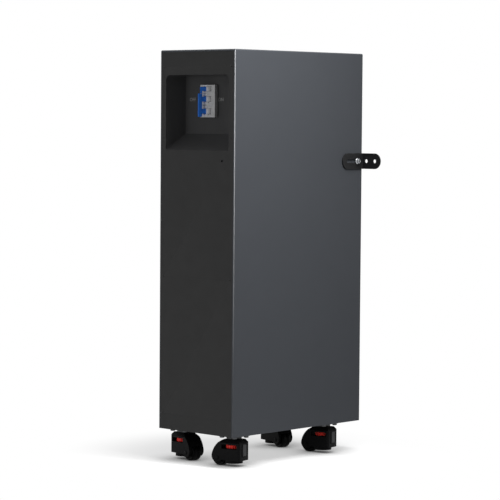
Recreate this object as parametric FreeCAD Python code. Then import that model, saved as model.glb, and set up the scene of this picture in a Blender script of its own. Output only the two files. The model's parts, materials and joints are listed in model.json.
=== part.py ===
import FreeCAD, Part
import math
import os

Vector = FreeCAD.Vector

# Lithium iron phosphate battery: a slim steel cabinet on four levelling casters.
# Frame: millimetres, X to the right along the narrow front, Y to the rear, Z up.
# The origin is the middle of the footprint, on the floor that the wheels stand on.

# Cells: sixteen prismatic cells in eight layers of two
cell_length = 204.6
cell_width = 173.6
cell_thickness = 72.0
cell_corner = 2.0
cell_layers = 8
cell_terminal_length = 2.6
cell_terminal_side = 18.0
cell_terminal_offset = 58.0
separator = 1.0
pack_bottom_plate = 14.0
nut_pocket_radius = 7.5
nut_pocket_depth = 8.0
pack_top_plate = 8.0
pack_plate_overhang = 14.0
tie_rod_radius = 4.0
tie_rod_inset = 7.0
tie_rod_side = 80.0
tie_rod_gap = 0.1
tie_nut_across = 13.0
tie_nut_height = 6.5
tie_rod_end = 2.0
busbar_thickness = 2.0
busbar_width = 20.0

# Room between the pack and the outside of the cabinet
pack_left_room = 15.7
pack_right_room = 9.7
pack_front_room = 36.9
pack_rear_room = 16.9
head_room = 242.0

# Cabinet
sheet = 1.5
bend_radius = 3.0
lip_width = 4.5
seam = 0.3
flange_width = 14.5
base_plate_thickness = 3.0
base_flange_height = 22.0
base_flange_sheet = 2.0
panel_corner = 1.0
rear_joint = 700.0
cut_margin = 1.0

# Panel screws, M4 with flush heads
panel_screw_inset = 11.5
panel_screws_above_bottom = (36.6, 346.0)
panel_screws_below_top = (194.0, 38.0)
panel_screw_radius = 2.0
panel_screw_head_radius = 3.6
panel_screw_length = 9.0
screw_gap = 0.1

# Front recess, its top edge measured down from the cabinet's top
recess_width = 193.5
recess_drop = 55.6
recess_height = 166.1
recess_depth = 41.0
recess_side_slant = 21.5
recess_bottom_rise = 36.0
recess_top_corner = 11.0
recess_bottom_corner = 2.0
recess_back_corner = 4.0
tray_wall = 1.5

# Breaker: two 27 mm poles and an 18 mm auxiliary module, turned on their side
pole_width = 27.0
aux_width = 18.0
breaker_drop = 149.0
breaker_face_depth = 33.0
breaker_nose_width = 45.0
breaker_nose_depth = 17.0
breaker_length = 81.0
breaker_depth = 70.0
breaker_shoulder_drop = 7.0
module_gap = 0.1
window_gap = 0.5
toggle_pivot_depth = 9.0
toggle_rotor_radius = 10.0
toggle_rotor_width = 12.0
toggle_gap = 0.35
toggle_stem_thickness = 4.5
toggle_reach = 27.5
toggle_bar_depth = 9.0
toggle_bar_thickness = 6.0
toggle_bar_round = 1.2
toggle_bar_end_gap = 1.0
toggle_half_swing = 38.0
toggle_slot_half_width = 11.4
toggle_slot_depth = 5.0
aux_toggle_reach = 23.0
aux_toggle_width = 10.0
aux_tab_drop = 2.6
aux_tab_thickness = 2.0
rail_width = 35.0
rail_rise = 7.5
rail_brim = 5.0
rail_sheet = 1.0
rail_overhang = 9.0

# Reset button behind the small round hole
reset_hole_radius = 2.5
reset_side = 76.8
reset_drop = 244.3
reset_plunger_radius = 1.9
reset_plunger_set_back = 2.4
reset_plunger_rest = 1.5
reset_bore_gap = 0.05
reset_tip_chamfer = 0.4
reset_switch_side = 6.0
reset_switch_depth = 4.0
reset_board_width = 26.0
reset_board_height = 16.0
reset_board_thickness = 1.6
reset_board_depth = 12.0
reset_post_radius = 2.0
reset_post_inset = 2.5

# Battery management unit on top of the pack
bms_width = 170.0
bms_depth = 120.0
bms_height = 92.0
bms_centre_y = 35.0
bms_fin_count = 11
bms_fin_height = 16.0
bms_fin_thickness = 2.5
bms_corner = 4.0

# Terminal bay in the rear panel
bay_width = 170.0
bay_drop = 78.0
bay_height = 100.0
bay_depth = 46.0
bay_corner = 1.5
power_terminal_offset = 55.0
power_terminal_drop = 112.0
power_flange_side = 34.0
power_flange_thickness = 4.0
power_body_radius = 13.0
power_body_length = 26.0
power_bore_radius = 9.0
power_bore_depth = 20.0
power_pin_radius = 4.0
power_pin_length = 14.0
power_rim_chamfer = 1.5
socket_block_width = 74.0
socket_block_height = 17.0
socket_block_depth = 16.0
socket_count = 4
socket_width = 12.0
socket_height = 9.0
socket_depth = 11.0
socket_block_end = 2.0
socket_block_drop = 156.0

# Levelling casters
caster_height = 70.0
caster_side_inset = 38.0
caster_front_inset = 45.0
caster_rear_inset = 86.0
caster_toe_in = 10.0
caster_plate_side = 52.0
caster_plate_thickness = 3.0
caster_plate_corner = 4.0
caster_hole_spacing = 38.0
caster_hole_radius = 3.3
caster_screw_radius = 3.0
caster_screw_head_across = 10.0
caster_screw_head_height = 4.0
caster_screw_length = 12.0
caster_nut_across = 10.0
caster_nut_height = 5.0
caster_boss_radius = 17.0
caster_boss_height = 6.0
caster_boss_chamfer = 1.0
kingpin_radius = 7.0
kingpin_reach = 8.0
kingpin_gap = 0.08
swivel_gap = 0.6
caster_body_half_width = 20.0
caster_body_end = 27.0
caster_body_corner = 5.0
caster_shoulder_height = 52.0
caster_shoulder_slope = 6.0
caster_block_bottom = 13.5
caster_skirt_radius = 20.0
caster_skirt_bottom = 7.0
caster_panel_width = 17.0
caster_panel_bottom = 22.0
caster_panel_top = 51.0
caster_panel_proud = 1.2
window_end = 19.5
window_wheel_end = 20.5
window_bottom = 39.0
window_top = 48.5
wheel_radius = 18.0
wheel_half_width = 11.5
wheel_trail = 32.2
wheel_gap = 0.8
wheel_side_gap = 0.9
wheel_tread_crown = 1.5
wheel_shoulder = 3.0
wheel_hub_radius = 9.5
wheel_hub_recess = 1.6
wheel_hub_chamfer = 1.0
wheel_rim_inset = 3.0
fender_top_reach = 16.0
fender_middle_reach = 35.5
fender_middle_height = 46.5
fender_end_reach = 46.5
fender_end_height = 24.0
cheek_middle_reach = 44.0
cheek_middle_height = 14.0
cheek_toe_reach = 37.0
cheek_heel_reach = 27.0
cheek_bottom = 8.5
cheek_rise_reach = 21.0
axle_radius = 3.0
axle_gap = 0.06
axle_head_radius = 4.5
axle_head_length = 1.2
thumbwheel_radius = 17.5
thumbwheel_thickness = 8.0
thumbwheel_top_gap = 0.75
thumbwheel_notches = 18
thumbwheel_notch_depth = 1.6
thumbwheel_notch_width = 2.6
foot_stud_radius = 5.0
foot_stud_gap = 0.08
foot_pad_radius = 12.0
foot_pad_height = 7.0
foot_pad_top_radius = 9.0
foot_pad_clearance = 6.5
foot_bore_radius = 12.7
foot_bore_top = 16.0
foot_stud_top = 52.4

# Wall brackets and their screws
bracket_sheet = 3.0
bracket_height = 36.0
bracket_side_leg = 72.0
bracket_wall_leg = 56.0
bracket_bend_radius = 4.0
bracket_bend_round = 3.5
bracket_drop = 247.0
bracket_slot_length = 42.0
bracket_slot_width = 8.0
bracket_slot_centre = 36.5
bracket_hole_radius = 4.5
bracket_hole_first = 14.0
bracket_hole_spacing = 25.0
bracket_slot_play = 1.2
bracket_gap = 0.1
bracket_screw_radius = 3.0
bracket_screw_length = 12.0
bracket_screw_flange_radius = 6.6
bracket_screw_flange = 1.6
bracket_screw_head_across = 10.0
bracket_screw_head = 4.6
rivet_nut_radius = 4.5
rivet_nut_length = 9.0

# Places worked out from the sizes above
pack_width = cell_length
pack_depth = 2 * cell_width + separator + 2 * pack_plate_overhang
stack_height = cell_layers * (cell_thickness + separator) - separator
pack_height = pack_bottom_plate + stack_height + pack_top_plate
body_width = pack_left_room + pack_width + pack_right_room
body_depth = pack_front_room + pack_depth + pack_rear_room
body_height = base_plate_thickness + pack_height + head_room
pack_shift_side = (pack_left_room - pack_right_room) / 2
pack_shift_rear = (pack_front_room - pack_rear_room) / 2
half_width = body_width / 2
front = -body_depth / 2
rear = body_depth / 2
body_bottom = caster_height
body_top = body_bottom + body_height
inner_side = half_width - sheet
panel_back = front + sheet
rear_panel_front = rear - sheet
panel_side = half_width - lip_width - seam
panel_top = body_top - lip_width - seam
flange_inner = half_width - sheet - flange_width
base_top = body_bottom + base_plate_thickness
recess_high = body_top - recess_drop
recess_low = recess_high - recess_height
reset_level = body_top - reset_drop
bay_high = body_top - bay_drop
bay_low = bay_high - bay_height
power_terminal_level = body_top - power_terminal_drop
socket_level = body_top - socket_block_drop
recess_back = front + recess_depth
breaker_face = front + breaker_face_depth
breaker_back = breaker_face + breaker_depth
breaker_low = body_top - breaker_drop
breaker_high = breaker_low + 2 * pole_width + aux_width
pivot_y = breaker_face + toggle_pivot_depth
pole_centres = (breaker_low + pole_width / 2, breaker_low + 1.5 * pole_width)
aux_centre = breaker_high - aux_width / 2
layer_pitch = cell_thickness + separator
pack_bottom = base_top
cells_bottom = pack_bottom + pack_bottom_plate
cells_top = cells_bottom + stack_height
pack_top = cells_top + pack_top_plate
cell_left = pack_shift_side - cell_length / 2
column_centres = (
    pack_shift_rear - (cell_width + separator) / 2,
    pack_shift_rear + (cell_width + separator) / 2,
)
pack_half_depth = pack_depth / 2
caster_places = {
    "front_left": (-1, front + caster_front_inset),
    "front_right": (1, front + caster_front_inset),
    "rear_left": (-1, rear - caster_rear_inset),
    "rear_right": (1, rear - caster_rear_inset),
}
bracket_centre = body_top - bracket_drop
bracket_slot_front = rear - bracket_slot_centre - bracket_slot_length / 2
bracket_slot_rear = bracket_slot_front + bracket_slot_length
bracket_screw_y = bracket_slot_rear - bracket_slot_width / 2 - bracket_slot_play


def box(x0, x1, y0, y1, z0, z1):
    """A box between two corners."""
    return Part.makeBox(x1 - x0, y1 - y0, z1 - z0, Vector(x0, y0, z0))


def post(radius, height, x, y, z):
    """An upright cylinder on its bottom centre."""
    return Part.makeCylinder(radius, height, Vector(x, y, z), Vector(0, 0, 1))


def rod_y(radius, length, x, y, z):
    """A cylinder that runs to the rear from its front centre."""
    return Part.makeCylinder(radius, length, Vector(x, y, z), Vector(0, 1, 0))


def rod_x(radius, length, x, y, z):
    """A cylinder that runs to the right from its left centre."""
    return Part.makeCylinder(radius, length, Vector(x, y, z), Vector(1, 0, 0))


def prism(points, direction):
    """A closed outline of points, pushed along a direction."""
    outline = Part.makePolygon(points + [points[0]])
    return Part.Face(outline).extrude(direction)


def hexagon(across, height, x, y, z):
    """An upright hexagonal prism on its bottom centre."""
    corner = across / math.sqrt(3)
    points = []
    for step in range(6):
        angle = math.radians(60 * step)
        points.append(Vector(x + corner * math.cos(angle), y + corner * math.sin(angle), z))
    return prism(points, Vector(0, 0, height))


def turned(shape, centre, axis, degrees):
    """A copy of a shape, turned about an axis through a point."""
    copy = shape.copy()
    copy.rotate(centre, axis, degrees)
    return copy


def fillet_where(shape, radius, wanted):
    """Rounds the edges of a solid that a test picks."""
    edges = [edge for edge in shape.Edges if wanted(edge)]
    return shape.makeFillet(radius, edges)


def chamfer_where(shape, size, wanted):
    """Bevels the edges of a solid that a test picks."""
    edges = [edge for edge in shape.Edges if wanted(edge)]
    return shape.makeChamfer(size, edges)


def runs_along(edge, index):
    """True where an edge is straight and parallel to the X, Y or Z axis (0, 1 or 2)."""
    if not isinstance(edge.Curve, Part.Line):
        return False
    ends = [vertex.Point for vertex in edge.Vertexes]
    span = ends[1] - ends[0]
    return all(abs(span[other]) < 0.001 for other in range(3) if other != index)


def rounded_outline(x0, x1, z0, z1, y, top_corner, bottom_corner):
    """A closed wire in an XZ plane: a rectangle with one radius above and another below."""
    diagonal = math.sqrt(0.5)
    top = top_corner
    low = bottom_corner
    corners = (
        (x1 - low, z0 + low, low, -90),
        (x1 - top, z1 - top, top, 0),
        (x0 + top, z1 - top, top, 90),
        (x0 + low, z0 + low, low, 180),
    )
    starts = []
    ends = []
    arcs = []
    for cx, cz, radius, angle in corners:
        points = []
        for turn in (0, 45, 90):
            a = math.radians(angle + turn)
            points.append(Vector(cx + radius * math.cos(a), y, cz + radius * math.sin(a)))
        starts.append(points[0])
        ends.append(points[2])
        arcs.append(Part.Arc(points[0], points[1], points[2]).toShape())
    edges = []
    for index in range(4):
        edges.append(arcs[index])
        edges.append(Part.makeLine(ends[index], starts[(index + 1) % 4]))
    return Part.Wire(edges)


def rounded_block(x0, x1, z0, z1, y0, y1, top_corner, bottom_corner):
    """A block along Y with rounded corners in its XZ outline."""
    outline = rounded_outline(x0, x1, z0, z1, y0, top_corner, bottom_corner)
    return Part.Face(outline).extrude(Vector(0, y1 - y0, 0))


def panel_screw_places(y):
    """The centres of the flush screws in one panel."""
    levels = [body_bottom + height for height in panel_screws_above_bottom]
    levels += [body_top - drop for drop in panel_screws_below_top]
    places = []
    for side in (-1, 1):
        for level in levels:
            places.append(Vector(side * (half_width - panel_screw_inset), y, level))
    return places


# Cabinet sheet metal

def body_wrap():
    """Both sides and the top in one folded sheet, with lips and screw flanges front and rear."""
    outer = box(-half_width, half_width, front, rear, body_bottom, body_top)
    outer = fillet_where(outer, bend_radius, lambda edge: fold_edge(edge, body_top))
    inner = box(-inner_side, inner_side, front + sheet, rear - sheet, body_bottom - sheet, body_top - sheet)
    inner = fillet_where(inner, bend_radius - sheet, lambda edge: fold_edge(edge, body_top - sheet))
    opening = box(lip_width - half_width, half_width - lip_width, front - sheet, rear + sheet,
                  body_bottom - sheet, body_top - lip_width)
    shell = outer.cut(inner).cut(opening)
    flange_bottom = body_bottom + base_flange_height + seam
    for y in (panel_back, rear_panel_front - sheet):
        frame = box(-inner_side, inner_side, y, y + sheet, flange_bottom, body_top - sheet)
        frame = fillet_where(frame, bend_radius - sheet,
                             lambda edge: runs_along(edge, 1) and edge.BoundBox.ZMin > body_top - lip_width)
        clear = box(-flange_inner, flange_inner, y - sheet, y + 2 * sheet,
                    flange_bottom - sheet, body_top - sheet - flange_width)
        shell = shell.fuse(frame.cut(clear))
    for y in (panel_back - sheet, rear_panel_front - sheet):
        for place in panel_screw_places(y):
            shell = shell.cut(rod_y(panel_screw_radius + screw_gap, 2.5 * sheet, place.x, place.y, place.z))
    for side in (-1, 1):
        start = side * half_width - rivet_nut_length
        shell = shell.cut(rod_x(rivet_nut_radius, 2 * rivet_nut_length, start,
                                bracket_screw_y, bracket_centre))
    for side in (-1, 1):
        shell = shell.fuse(rivet_nut(side))
    return shell.removeSplitter()


def fold_edge(edge, top):
    """True for the upright edges and for the top edges of the cabinet's block."""
    upright = runs_along(edge, 2)
    return upright or edge.BoundBox.ZMin > top - sheet / 2


def rivet_nut(side):
    """A threaded insert pressed into one side wall for the bracket screw."""
    start = half_width if side > 0 else rivet_nut_length - half_width
    length = rivet_nut_length
    nut = rod_x(rivet_nut_radius, length, start - length, bracket_screw_y, bracket_centre)
    bore = rod_x(bracket_screw_radius + screw_gap, 2 * length, start - 1.5 * length,
                 bracket_screw_y, bracket_centre)
    return nut.cut(bore)


def drilled_for_screws(panel, outer_face, inward):
    """Cuts the flush seats of the panel screws."""
    for place in panel_screw_places(outer_face):
        seat = Part.makeCone(panel_screw_head_radius + screw_gap, panel_screw_radius + screw_gap, sheet,
                             place, Vector(0, inward, 0))
        panel = panel.cut(seat)
    return panel


def front_panel():
    """The plain front sheet with the recess opening and the small reset hole."""
    panel = rounded_block(-panel_side, panel_side, body_bottom, panel_top, front, panel_back,
                          panel_corner, panel_corner)
    opening = rounded_block(-recess_width / 2, recess_width / 2, recess_low, recess_high,
                            front - sheet, panel_back + sheet, recess_top_corner, recess_bottom_corner)
    hole = rod_y(reset_hole_radius, 3 * sheet, reset_side, front - sheet, reset_level)
    return drilled_for_screws(panel.cut(opening).cut(hole), front, 1)


def rear_sheet(low, high):
    """One sheet of the rear cover between two heights."""
    return rounded_block(-panel_side, panel_side, low, high, rear_panel_front, rear, panel_corner, panel_corner)


def rear_panel():
    """The rear cover: a plain lower sheet, and an upper one with the opening of the terminal bay."""
    lower = rear_sheet(body_bottom, rear_joint - seam / 2)
    opening = rounded_block(-bay_width / 2, bay_width / 2, bay_low, bay_high,
                            rear_panel_front - sheet, rear + sheet, bay_corner, bay_corner)
    upper = rear_sheet(rear_joint + seam / 2, panel_top).cut(opening)
    return drilled_for_screws(Part.makeCompound([lower, upper]), rear, -1)


def base_tray():
    """The load-bearing floor with flanges turned up and a weld nut over each caster screw."""
    outer = box(-inner_side, inner_side, panel_back, rear_panel_front, body_bottom,
                body_bottom + base_flange_height)
    outer = fillet_where(outer, bend_radius - sheet, lambda edge: runs_along(edge, 2))
    wall = base_flange_sheet
    inner = box(wall - inner_side, inner_side - wall, panel_back + wall, rear_panel_front - wall,
                base_top, body_top)
    tray = outer.cut(inner)
    for place in caster_screw_places():
        tray = tray.fuse(hexagon(caster_nut_across, caster_nut_height, place.x, place.y, base_top))
        tray = tray.cut(post(caster_screw_radius + screw_gap, 4 * base_plate_thickness, place.x, place.y,
                             body_bottom - base_plate_thickness))
    return tray


def recess_tray():
    """The funnel behind the front opening: slanting sides, a sloping sill and a window for the breaker."""
    low = recess_low
    high = recess_high
    side = recess_width / 2
    back_side = side - recess_side_slant
    back_low = low + recess_bottom_rise
    wall = tray_wall
    inner = Part.makeLoft([
        rounded_outline(-side, side, low, high, panel_back, recess_top_corner, recess_bottom_corner),
        rounded_outline(-back_side, back_side, back_low, high, recess_back,
                        recess_back_corner, recess_bottom_corner)], True, True)
    outer = Part.makeLoft([
        rounded_outline(-side - wall, side + wall, low - wall, high + wall, panel_back,
                        recess_top_corner + wall, recess_bottom_corner + wall),
        rounded_outline(-back_side - wall, back_side + wall, back_low - wall, high + wall,
                        recess_back + wall, recess_back_corner + wall, recess_bottom_corner + wall)],
        True, True)
    reach = breaker_nose_width / 2 + window_gap
    window = box(-reach, reach, recess_back - wall, recess_back + 3 * wall,
                 breaker_low - window_gap, breaker_high + window_gap)
    return outer.cut(inner).cut(window)


def terminal_bay():
    """The shallow box behind the rear opening that holds the power and signal sockets."""
    side = bay_width / 2
    wall = tray_wall
    outer = rounded_block(-side - wall, side + wall, bay_low - wall, bay_high + wall, rear - bay_depth - wall,
                          rear_panel_front, bay_corner + wall, bay_corner + wall)
    inner = rounded_block(-side, side, bay_low, bay_high, rear - bay_depth, rear, bay_corner, bay_corner)
    tray = outer.cut(inner)
    for x in (-power_terminal_offset, power_terminal_offset):
        tray = tray.cut(rod_y(power_pin_radius + screw_gap, 4 * wall, x, rear - bay_depth - 2 * wall,
                              power_terminal_level))
    return tray


def panel_screws():
    """Flush M4 screws of the front and rear panels."""
    screws = []
    for outer_face, inward in ((front, 1), (rear, -1)):
        for place in panel_screw_places(outer_face):
            way = Vector(0, inward, 0)
            head = Part.makeCone(panel_screw_head_radius, panel_screw_radius, sheet, place, way)
            shank = Part.makeCylinder(panel_screw_radius, panel_screw_length, place, way)
            socket = Part.makeCylinder(panel_screw_radius / 2, sheet, place, way)
            screws.append(head.fuse(shank).cut(socket))
    return Part.makeCompound(screws)


# Breaker

def breaker_module(low, width):
    """One breaker module lying on its side: narrow nose, sloping shoulders and a rail slot behind."""
    nose = breaker_nose_width / 2
    body = breaker_length / 2
    slope = (body - nose) / 2
    shoulder = breaker_face + breaker_nose_depth
    rail = rail_width / 2 + module_gap
    slot = breaker_back - rail_rise
    z = low + module_gap
    outline = [
        (-nose, breaker_face), (nose, breaker_face), (nose, shoulder),
        (nose + slope, shoulder), (body, shoulder + breaker_shoulder_drop), (body, breaker_back),
        (rail, breaker_back), (rail, slot), (-rail, slot), (-rail, breaker_back),
        (-body, breaker_back), (-body, shoulder + breaker_shoulder_drop), (-nose - slope, shoulder),
        (-nose, shoulder),
    ]
    points = [Vector(x, y, z) for x, y in outline]
    return prism(points, Vector(0, 0, width - 2 * module_gap))


def toggle_slot(centre, width):
    """The hollow in a nose where the toggle and its round rotor swing."""
    high = width + 2 * toggle_gap
    low = centre - high / 2
    round_part = post(toggle_rotor_radius + toggle_gap, high, 0, pivot_y, low)
    slot = box(-toggle_slot_half_width, toggle_slot_half_width, breaker_face - cut_margin,
               breaker_face + toggle_slot_depth, low, low + high)
    return round_part.fuse(slot)


def breaker_pole(low):
    """One 27 mm pole with its toggle slot."""
    centre = low + pole_width / 2
    return breaker_module(low, pole_width).cut(toggle_slot(centre, toggle_rotor_width))


def breaker_aux_module():
    """The 18 mm auxiliary module above the poles."""
    module = breaker_module(breaker_high - aux_width, aux_width)
    return module.cut(toggle_slot(aux_centre, aux_toggle_width))


def toggle(centre, width, reach):
    """One rotor with its stem, straight ahead."""
    low = centre - width / 2
    rotor = post(toggle_rotor_radius, width, 0, pivot_y, low)
    half = toggle_stem_thickness / 2
    stem = box(-half, half, pivot_y - reach, pivot_y, low, low + width)
    return rotor.fuse(stem)


def at_off(shape):
    """Turns a toggle from straight ahead to its OFF position on the left."""
    return turned(shape, Vector(0, pivot_y, 0), Vector(0, 0, 1), -toggle_half_swing)


def breaker_handle():
    """Both pole toggles joined by their grip bar."""
    tip = pivot_y - toggle_reach
    half = toggle_bar_thickness / 2
    low = breaker_low + toggle_bar_end_gap
    high = breaker_low + 2 * pole_width - toggle_bar_end_gap
    bar = box(-half, half, tip, tip + toggle_bar_depth, low, high)
    bar = bar.makeFillet(toggle_bar_round, bar.Edges)
    handle = bar
    for centre in pole_centres:
        handle = handle.fuse(toggle(centre, toggle_rotor_width, toggle_reach - toggle_bar_depth / 2))
    return at_off(handle.removeSplitter())


def breaker_aux_lever():
    """The shorter toggle of the auxiliary module, with a tab that reaches down to the grip bar."""
    lever = toggle(aux_centre, aux_toggle_width, aux_toggle_reach)
    half = toggle_stem_thickness / 2
    tip = pivot_y - aux_toggle_reach
    bar_top = breaker_low + 2 * pole_width - toggle_bar_end_gap
    low = aux_centre - aux_toggle_width / 2
    tab = box(-half, half, tip, tip + aux_tab_thickness + aux_tab_drop, bar_top, low + cut_margin)
    return at_off(lever.fuse(tab).removeSplitter())


def din_rail():
    """The mounting rail with legs that carry it from the back wall of the tray."""
    low = breaker_low - rail_overhang
    high = breaker_high + rail_overhang
    half = rail_width / 2
    crown = half - rail_brim
    rise = rail_rise - rail_sheet
    face = breaker_back - rail_rise
    brim = box(-half, half, face, face + rail_sheet, low, high)
    hat = box(-crown, crown, face, face + rise + rail_sheet, low, high)
    hollow = box(rail_sheet - crown, crown - rail_sheet, face - cut_margin, face + rise,
                 low - cut_margin, high + cut_margin)
    rail = brim.fuse(hat).cut(hollow)
    leg_front = recess_back + tray_wall
    for z in (low - rail_sheet, high):
        leg = box(-crown, crown, leg_front, face + rise + rail_sheet, z, z + rail_sheet)
        rail = rail.fuse(leg)
    return rail.removeSplitter()


# Reset button

def reset_board():
    """A small board with its switch housing, on two posts behind the front panel."""
    z = reset_level
    y = panel_back + reset_board_depth
    half = reset_board_width / 2
    board = box(reset_side - half, reset_side + half, y, y + reset_board_thickness,
                z - reset_board_height / 2, z + reset_board_height / 2)
    for x in (reset_side - half + reset_post_inset, reset_side + half - reset_post_inset):
        board = board.fuse(rod_y(reset_post_radius, reset_board_depth, x, panel_back, z))
    side = reset_switch_side / 2
    housing = box(reset_side - side, reset_side + side, y - reset_switch_depth, y, z - side, z + side)
    bore = rod_y(reset_plunger_radius + reset_bore_gap, reset_switch_depth, reset_side,
                 y - reset_switch_depth, z)
    return board.fuse(housing).cut(bore)


def reset_button():
    """The plunger of the reset switch, set back behind its hole."""
    start = front + reset_plunger_set_back
    y = panel_back + reset_board_depth
    length = y - reset_plunger_rest - start
    tip = rod_y(reset_plunger_radius, length, reset_side, start, reset_level)
    return chamfer_where(tip, reset_tip_chamfer, lambda edge: abs(edge.BoundBox.YMax - start) < 0.001)


# Cell pack

def cell(column, layer):
    """One prismatic cell on its side, terminals to the left."""
    y = column_centres[column]
    z = cells_bottom + layer * layer_pitch
    half = cell_width / 2
    can = box(cell_left, cell_left + cell_length, y - half, y + half, z, z + cell_thickness)
    can = fillet_where(can, cell_corner, lambda edge: runs_along(edge, 0))
    pad = cell_terminal_side / 2
    middle = z + cell_thickness / 2
    for shift in (-cell_terminal_offset, cell_terminal_offset):
        terminal = box(cell_left - cell_terminal_length, cell_left, y + shift - pad, y + shift + pad,
                       middle - pad, middle + pad)
        can = can.fuse(terminal)
    return can


def cell_layer(layer):
    """The two cells of one layer."""
    return Part.makeCompound([cell(0, layer), cell(1, layer)])


def cell_separators():
    """Thin insulating sheets between the layers."""
    sheets = []
    half = cell_width + separator / 2
    for layer in range(1, cell_layers):
        z = cells_bottom + layer * layer_pitch
        sheets.append(box(cell_left, cell_left + cell_length, pack_shift_rear - half,
                          pack_shift_rear + half, z - separator, z))
    return Part.makeCompound(sheets)


def cell_busbars():
    """Flat links that join the cells in one series string."""
    x = cell_left - cell_terminal_length
    half = busbar_width / 2
    pad = cell_terminal_side / 2
    links = []
    for column in (0, 1):
        for layer in range(cell_layers - 1):
            shift = cell_terminal_offset if (layer + column) % 2 else -cell_terminal_offset
            y = column_centres[column] + shift
            low = cells_bottom + layer * layer_pitch + cell_thickness / 2 - pad
            link = box(x - busbar_thickness, x, y - half, y + half, low, low + layer_pitch + 2 * pad)
            links.append(link)
    low = cells_bottom + (cell_layers - 1) * layer_pitch + cell_thickness / 2 - pad
    start = column_centres[0] + cell_terminal_offset - pad
    end = column_centres[1] - cell_terminal_offset + pad
    links.append(box(x - busbar_thickness, x, start, end, low, low + 2 * pad))
    return Part.makeCompound(links)


def rod_places():
    """The four tie rods that squeeze the stack, two in front and two behind."""
    reach = pack_half_depth - tie_rod_inset
    places = []
    for x in (-tie_rod_side, tie_rod_side):
        for y in (-reach, reach):
            places.append((x + pack_shift_side, y + pack_shift_rear))
    return places


def pack_plate(low, thickness):
    """One end plate of the stack, drilled for the tie rods."""
    plate = box(cell_left, cell_left + cell_length, pack_shift_rear - pack_half_depth,
                pack_shift_rear + pack_half_depth, low, low + thickness)
    plate = fillet_where(plate, 2 * cell_corner, lambda edge: runs_along(edge, 2))
    for x, y in rod_places():
        plate = plate.cut(post(tie_rod_radius + tie_rod_gap, 3 * thickness, x, y, low - thickness))
    return plate


def pack_end_plates():
    """The plates under and over the cells. The lower one has pockets for the weld nuts."""
    lower = pack_plate(pack_bottom, pack_bottom_plate)
    for place in caster_screw_places():
        lower = lower.cut(post(nut_pocket_radius, nut_pocket_depth, place.x, place.y, pack_bottom))
    return Part.makeCompound([lower, pack_plate(cells_top, pack_top_plate)])


def pack_tie_rods():
    """Tie rods that stand on the floor plate, each with its nut on the top plate."""
    rods = []
    for x, y in rod_places():
        rod = post(tie_rod_radius, pack_top - pack_bottom + tie_nut_height + tie_rod_end, x, y, pack_bottom)
        rods.append(rod.fuse(hexagon(tie_nut_across, tie_nut_height, x, y, pack_top)))
    return Part.makeCompound(rods)


def bms_module():
    """The battery management unit: a low case with cooling fins on top."""
    half = bms_width / 2
    y0 = bms_centre_y - bms_depth / 2
    y1 = bms_centre_y + bms_depth / 2
    case_top = pack_top + bms_height - bms_fin_height
    case = box(-half, half, y0, y1, pack_top, case_top)
    case = fillet_where(case, bms_corner, lambda edge: runs_along(edge, 2))
    pitch = (bms_width - 2 * bms_corner - bms_fin_thickness) / (bms_fin_count - 1)
    for index in range(bms_fin_count):
        x = bms_corner - half + index * pitch
        case = case.fuse(box(x, x + bms_fin_thickness, y0 + bms_corner, y1 - bms_corner,
                             case_top, case_top + bms_fin_height))
    return case.removeSplitter()


# Sockets in the terminal bay

def power_terminal(x):
    """A round shrouded power socket on a square flange, with its pin."""
    z = power_terminal_level
    back = rear - bay_depth
    half = power_flange_side / 2
    flange = rounded_block(x - half, x + half, z - half, z + half, back, back + power_flange_thickness,
                           bms_corner, bms_corner)
    top = back + power_flange_thickness
    shroud = rod_y(power_body_radius, power_body_length, x, top, z)
    tip = top + power_body_length
    shroud = chamfer_where(shroud, power_rim_chamfer, lambda edge: edge.BoundBox.YMin > tip - 0.01)
    bore = rod_y(power_bore_radius, power_bore_depth + cut_margin, x, tip - power_bore_depth, z)
    pin = rod_y(power_pin_radius, power_pin_length, x, tip - power_bore_depth, z)
    return flange.fuse(shroud).cut(bore).fuse(pin)


def comm_sockets():
    """A block of four signal sockets."""
    z = socket_level
    back = rear - bay_depth
    half = socket_block_width / 2
    block = box(-half, half, back, back + socket_block_depth, z - socket_block_height / 2,
                z + socket_block_height / 2)
    pitch = (socket_block_width - socket_width - 2 * socket_block_end) / (socket_count - 1)
    face = back + socket_block_depth
    for index in range(socket_count):
        x = socket_block_end - half + index * pitch
        block = block.cut(box(x, x + socket_width, face - socket_depth, face + cut_margin,
                              z - socket_height / 2, z + socket_height / 2))
    return block


# Levelling casters, built with the wheel towards +X and then turned to their place

def caster_centre(name):
    """The swivel axis of one caster at floor level."""
    side, y = caster_places[name]
    return Vector(side * (half_width - caster_side_inset), y, 0)


def caster_angle(name):
    """The turn that points the wheel inwards and a little to the front."""
    side = caster_places[name][0]
    return 180 + caster_toe_in if side > 0 else -caster_toe_in


def placed(shape, name):
    """Turns a caster piece about its swivel axis and moves it to its corner."""
    copy = turned(shape, Vector(0, 0, 0), Vector(0, 0, 1), caster_angle(name))
    copy.translate(caster_centre(name))
    return copy


def caster_screw_places():
    """The sixteen screw centres of the four caster plates."""
    half = caster_hole_spacing / 2
    places = []
    for name in caster_places:
        centre = caster_centre(name)
        for dx in (-half, half):
            for dy in (-half, half):
                places.append(Vector(centre.x + dx, centre.y + dy, 0))
    return places


def caster_screws():
    """Hexagon screws that hold the caster plates from below."""
    low = caster_height - caster_plate_thickness - caster_screw_head_height
    screws = []
    for place in caster_screw_places():
        head = hexagon(caster_screw_head_across, caster_screw_head_height, place.x, place.y, low)
        shank = post(caster_screw_radius, caster_screw_length, place.x, place.y,
                     low + caster_screw_head_height)
        screws.append(head.fuse(shank))
    return Part.makeCompound(screws)


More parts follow.
